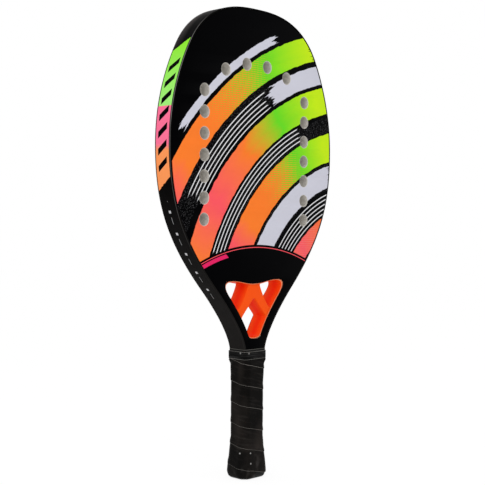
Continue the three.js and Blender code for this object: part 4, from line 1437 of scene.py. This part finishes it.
class RACKET_OT_grip_tape(bpy.types.Operator):
    """Winds the grip tape up the handle, each turn lapped over the one below"""

    bl_idname = "racket.grip_tape"
    bl_label = "Grip tape"

    per_turn: IntProperty(
        name="Steps per turn", default=104, min=24, description="Steps of the winding in one turn"
    )

    def execute(self, context):
        """Each row of the grid is the tape's section at one step of the winding. Its height rises by
        the width less the lap in a turn, and is cut off at the bottom and the top. Its offset is put
        on the handle's octagon, and over to the frame's section above the pallets."""
        outline, frame_sizes, _, handle, grip = sizes()
        section, neck = handle_section(handle), neck_section(handle, outline, frame_sizes)
        pitch = grip.width - grip.lap
        start = grip.bottom - grip.width - grip.start * pitch
        first = (grip.bottom + grip.tail - grip.width - start) / pitch
        last = (grip.top - grip.top_tail - start) / pitch
        turns = np.linspace(first, last, int((last - first) * self.per_turn))
        lower = start + turns * pitch
        lift = rise(lower, grip.bottom, grip.bottom + grip.tail - grip.lap)
        low, high = np.maximum(lower, grip.bottom), np.minimum(lower + grip.width, grip.top)
        strip = np.stack([tape_section(grip, *one) for one in zip(low, high, lift)])
        heights = strip[..., 0]

        # Pressed thin at the butt's lower edge, and bound tight under the finishing tape.
        height_over = strip[..., 1] * (0.35 + 0.65 * rise(heights, grip.bottom, grip.bottom + 5 * MM))
        way = leaving_handle(handle, heights)
        flare = cap_offset(handle, heights) + top_swell(grip, heights)
        on_handle = section.at(-turns[:, None], TAPE_SEAT + height_over * (1 - 0.4 * way) + flare)
        band_foot = grip.band_top - grip.band_width - 0.9 * MM
        bound = rise(heights, band_foot, band_foot + 1.2 * MM)
        loose, held = TAPE_SEAT + height_over * 0.8, 0.24 * MM + height_over * 0.28
        offset = loose + (held - loose) * bound
        on_neck = round_neck(neck, outline, handle, -turns[:, None], heights, offset)
        flat = on_handle * (1 - way[..., None]) + on_neck * way[..., None]
        grid = np.concatenate([flat, heights[..., None]], axis=-1)
        across = heights - lower[:, None]
        across = np.concatenate([across, across[:, :1]], axis=1)
        tape = grid_mesh("grip_wrap", grid, turns * section.girth, across)
        close_ends(tape, *grid.shape[:2])
        finished(tape, wound_tape(grip), "grip_tape", crease=60)
        return {"FINISHED"}


class RACKET_OT_finishing_tape(bpy.types.Operator):
    """Winds the finishing tape over the collar and the end of the grip tape"""

    bl_idname = "racket.finishing_tape"
    bl_label = "Finishing tape"

    def execute(self, context):
        """The tape climbs at first and then runs level: its upper edge follows one branch of a
        hyperbola. Each turn lies on the one below it, so the offset grows with the turns."""
        outline, frame_sizes, _, handle, grip = sizes()
        neck = neck_section(handle, outline, frame_sizes)
        turns = np.linspace(0, grip.band_turns, int(grip.band_turns * 110))
        before = grip.band_level - turns
        upper = grip.band_top - grip.band_climb * (before + np.hypot(before, 0.06)) / 2
        steps, thick = 13, grip.band_thickness
        across = np.linspace(0, 1, steps)
        inner = np.stack([across, np.zeros(steps)], axis=1)
        outer = np.stack([across[::-1], np.full(steps, thick)], axis=1)
        outer[[0, -1], 1] = thick - 0.12 * MM
        profile = np.vstack([inner, outer])
        heights = upper[:, None] - grip.band_width * (1 - profile[None, :, 0])
        offset = profile[None, :, 1] + turns[:, None] * (thick + BAND_AIR)
        shares = -(turns[:, None] + grip.band_start)
        on_neck = round_neck(neck, outline, handle, shares, heights, grip.band_seat + offset)
        seat = grip.thickness * 0.6 + top_swell(grip, heights) + 0.9 * MM
        on_handle = handle_section(handle).at(shares, seat + offset)
        way = leaving_handle(handle, heights)[..., None]
        flat = on_neck * way + on_handle * (1 - way)
        grid = np.concatenate([flat, heights[..., None]], axis=-1)
        place = np.append(profile[:, 0], profile[0, 0]) * grip.band_width
        band = grid_mesh("finishing_wrap", grid, turns * neck.girth, place)
        close_ends(band, *grid.shape[:2])
        finished(band, stretched_band(grip), "finishing_tape", crease=50)
        return {"FINISHED"}


class RACKET_OT_collar(bpy.types.Operator):
    """Makes the collar between the frame and the finishing tape"""

    bl_idname = "racket.collar"
    bl_label = "Collar"

    def execute(self, context):
        """The outer loop is the neck's octagon. The inner one is the frame's rounded rectangle, read
        off in the same directions: on its straight sides, or on its corner arcs where a point would
        lie beyond one. The wall has a round lip, tapers out below it, and steps in to a thin skirt."""
        outline, frame_sizes, _, handle, _ = sizes()
        section = neck_section(handle, outline, frame_sizes)
        shares = np.linspace(0, 1, 120, endpoint=False)
        outer = section.at(shares, 0.1 * MM + handle.collar_wall)
        radius = frame_sizes.rounding
        half = np.array([outline.side(handle.collar_top, 0), frame_sizes.thickness / 2]) + COLLAR_FIT
        corner = np.sign(outer) * (half - radius)
        straight = outer * np.min(half / np.abs(outer), axis=1, keepdims=True)
        beyond = (np.abs(straight) > np.abs(corner)).all(axis=1)
        out = straight - corner
        drawn_in = np.minimum(radius / np.maximum(np.linalg.norm(out, axis=1), 1e-9), 1)
        inner = np.where(beyond[:, None], corner + out * drawn_in[:, None], straight)

        top, bottom, shelf = handle.collar_top, handle.collar_top - handle.collar_height, handle.collar_skirt
        lip = arc((0.3, 0.0), 0.3, math.pi, 0, 7)
        way = np.linspace(0, 1, 6)
        profile = np.concatenate([[0.0], lip[:, 0], 0.6 + 0.4 * eased(way), [1.0, 0.4, 0.4]])
        lip_heights = top - 0.3 * MM + lip[:, 1] * MM
        taper_heights = top - 1.4 * MM - way * 0.9 * MM
        heights = np.concatenate([[bottom], lip_heights, taper_heights, [shelf, shelf, bottom]])
        grid = ring_between(inner, outer, profile, heights)
        grid[..., 0] *= neck_ratio(outline, handle, heights)[:, None]
        ring = grid_mesh("collar_ring", grid, wrap_rows=True)
        finished(ring, collar_rubber(handle), "grip_collar")
        return {"FINISHED"}


class RACKET_OT_butt(bpy.types.Operator):
    """Makes the butt cap, with a shallow dish in its end, and the eyelet of the wrist cord"""

    bl_idname = "racket.butt"
    bl_label = "Butt cap"

    def execute(self, context):
        """Both are closed rings of rows: the cap goes from circles round the cord's hole over to the
        handle's octagon, and the eyelet is one profile spun round the axis."""
        handle = context.scene.racket_handle
        section = handle_section(handle)
        shares = np.linspace(0, 1, 128, endpoint=False)
        base = section.at(shares)
        turn = np.arctan2(base[:, 1], base[:, 0])
        circle = np.stack([np.cos(turn), np.sin(turn)], axis=1)
        hole, floor, top = handle.cord_hole / 2, handle.cap_floor, handle.cap_height
        # Radius and height of the circles of the hole and the dish.
        dish = [
            (hole, floor),
            (hole, 0.9 * MM),
            (hole + 0.2 * MM, 0.7 * MM),
            (hole + 3.2 * MM, 0.6 * MM),
            (hole + 3.6 * MM, 0.1 * MM),
            (hole + 4.0 * MM, 0.0),
        ]
        round_heights = handle.cap_round * (1 - np.cos(np.linspace(0.02, math.pi / 2, 9)))
        side_heights = np.linspace(handle.flare_level, top - 0.2 * MM, 12)
        # Offset from the section and height of the cap's side, its upper edge and its inside.
        wall = [(cap_offset(handle, height), height) for height in (*round_heights, *side_heights)]
        wall += [
            (0.45 * MM, top),
            (0.3 * MM, top - 0.2 * MM),
            (0.3 * MM, floor + 0.4 * MM),
            (-0.1 * MM, floor),
        ]
        flat = [circle * radius for radius, _ in dish] + [section.at(shares, out) for out, _ in wall]
        flat, heights = np.stack(flat), np.array([height for _, height in dish + wall])[:, None, None]
        grid = np.concatenate([flat, np.broadcast_to(heights, (*flat.shape[:2], 1))], axis=-1)
        cap = grid_mesh("cap_shell", grid, wrap_rows=True)
        finished(cap, moulded_plastic("cap_plastic", (12, 12, 12), 0.4), "butt_cap")

        bore, barrel = handle.eyelet_bore / 2, hole - 0.15 * MM
        flange, seat = barrel + 1.7 * MM, floor + 0.2 * MM
        profile = np.array(
            [
                [bore, 0.9 * MM],
                [bore + 0.25 * MM, 0.5 * MM],
                [barrel - 0.2 * MM, 0.5 * MM],
                [barrel, 0.7 * MM],
                [barrel, seat],
                [flange - 0.2 * MM, seat],
                [flange, seat + 0.2 * MM],
                [flange, seat + 0.8 * MM],
                [flange - 0.2 * MM, seat + MM],
                [bore + 0.25 * MM, seat + MM],
                [bore, seat + 0.75 * MM],
            ]
        )
        radius, height = profile[:, :1], profile[:, 1:]
        around = np.linspace(0, 2 * math.pi, 48, endpoint=False)
        spun = np.broadcast_arrays(radius * np.cos(around), radius * np.sin(around), height)
        eyelet = grid_mesh("eyelet_ring", np.stack(spun, axis=-1), wrap_rows=True)
        finished(eyelet, moulded_plastic("eyelet_plastic", (34, 34, 34), 0.3), "cord_eyelet")
        return {"FINISHED"}


class RACKET_OT_inside(bpy.types.Operator):
    """Gives the pieces that lie inside the racket their own finishes"""

    bl_idname = "racket.inside"
    bl_label = "Inner pieces"

    def execute(self, context):
        """The nodes keep their CAD shapes."""
        filler = moulded_plastic("filler_foam", (120, 118, 104), 0.85, 1600.0)
        laminate = pressed_laminate()
        pallets = moulded_plastic("pallet_plastic", (44, 44, 46), 0.55)
        for material, *nodes in (
            (filler, "neck_block", "handle_core"),
            (laminate, "throat_bridge"),
            (pallets, "left_pallet", "right_pallet"),
        ):
            for node in nodes:
                refinished(node, material)
        return {"FINISHED"}


# ---------------------------------------------------------------- studio

# Each lamp: its name, the setting of its power, its place, what it is aimed at, its width and height.
LAMPS = (
    ("key_lamp", "key", (-1.25, -1.0, 1.0), (0, 0, 0.27), 0.7, 1.1),
    ("fill_lamp", "fill", (1.2, -1.3, 0.5), (0, 0, 0.27), 0.8, 1.2),
    ("left_sparkle", "sparkle", (-1.0, -0.25, 0.75), (0, 0, 0.1), 0.05, 0.05),
    ("right_sparkle", "sparkle", (-0.35, -1.1, 0.75), (0, 0, 0.1), 0.05, 0.05),
)


def lamp(name, watts, place, aim, width, height):
    """A rectangular lamp that faces the point it is aimed at: its back is the direction from there,
    its right is level, and its upper side is square to both."""
    data = bpy.data.lights.new(name, "AREA")
    data.shape = "RECTANGLE"
    data.size, data.size_y = width, height
    data.energy = watts
    place, aim = np.array(place), np.array(aim)
    back = (place - aim) / np.linalg.norm(place - aim)
    right = np.cross([0, 0, 1], back)
    right /= np.linalg.norm(right)
    faced(placed(name, data), right, np.cross(back, right), back, place)


class RACKET_OT_studio(bpy.types.Operator):
    """Makes the floor, the even studio light and the lamps"""

    bl_idname = "racket.studio"
    bl_label = "Studio"

    def execute(self, context):
        """The floor is a level grid. The world lights the object at a plain level, and is plain white
        to the camera and in reflections."""
        studio = context.scene.racket_studio
        reach = np.linspace(-0.5, 0.5, 5) * studio.floor_size
        grid = np.stack([*np.meshgrid(reach, reach), np.zeros((5, 5))], axis=-1)
        floor = grid_mesh("studio_floor", grid, wrap_columns=False)
        floor.data.materials.append(paper_floor())
        if floor.data.polygons[0].normal.z < 0:
            floor.data.flip_normals()
        floor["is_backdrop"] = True

        world = bpy.data.worlds.new("studio")
        context.scene.world = world
        sky = Nodes(world)
        light = sky.tree.nodes["Background"]
        sky.plug(light.inputs["Color"], (1.0, 1.0, 1.0))
        sky.plug(light.inputs["Strength"], studio.world)
        shown = sky.node("Background", None, Color=(1.0, 1.0, 1.0))
        sky.end_in("World Output", sky.seen_rays(), light, shown)

        for name, setting, *rest in LAMPS:
            lamp(name, getattr(studio, setting), *rest)
        context.scene.view_settings.view_transform = "Standard"
        return {"FINISHED"}


OPERATORS = (
    RACKET_OT_camera,
    RACKET_OT_frame,
    RACKET_OT_faces,
    RACKET_OT_core,
    RACKET_OT_throat,
    RACKET_OT_grip_tape,
    RACKET_OT_finishing_tape,
    RACKET_OT_collar,
    RACKET_OT_butt,
    RACKET_OT_inside,
    RACKET_OT_studio,
)

SETTINGS = {
    "racket_outline": OutlineSettings,
    "racket_frame": FrameSettings,
    "racket_holes": HoleSettings,
    "racket_throat": ThroatSettings,
    "racket_handle": HandleSettings,
    "racket_grip": GripSettings,
    "racket_print": PrintSettings,
    "racket_studio": StudioSettings,
}


class RACKET_PT_panel(bpy.types.Panel):
    """The racket's pieces, each made by one button"""

    bl_idname = "RACKET_PT_panel"
    bl_label = "Beach Tennis Racket"
    bl_space_type = "VIEW_3D"
    bl_region_type = "UI"
    bl_category = "Racket"

    def draw(self, context):
        """A button for each operator, and a box for each group of settings."""
        column = self.layout.column(align=True)
        for operator in OPERATORS:
            column.operator(operator.bl_idname)
        for name, group in SETTINGS.items():
            box = self.layout.box()
            box.label(text=group.__name__.replace("Settings", ""))
            for setting in group.__annotations__:
                box.prop(getattr(context.scene, name), setting)


CLASSES = (*SETTINGS.values(), *OPERATORS, RACKET_PT_panel)


def register():
    """Registers the classes and gives each scene its settings."""
    for each in CLASSES:
        bpy.utils.register_class(each)
    for name, group in SETTINGS.items():
        setattr(bpy.types.Scene, name, PointerProperty(type=group))


def unregister():
    """Takes back what register did."""
    for name in SETTINGS:
        delattr(bpy.types.Scene, name)
    for each in reversed(CLASSES):
        bpy.utils.unregister_class(each)


def main():
    """Makes every piece and the stage in order."""
    register()
    bpy.ops.racket.camera()
    bpy.ops.racket.frame()
    bpy.ops.racket.faces()
    bpy.ops.racket.core()
    bpy.ops.racket.throat()
    bpy.ops.racket.grip_tape()
    bpy.ops.racket.finishing_tape()
    bpy.ops.racket.collar()
    bpy.ops.racket.butt()
    bpy.ops.racket.inside()
    bpy.ops.racket.studio()


if __name__ == "__main__":
    main()
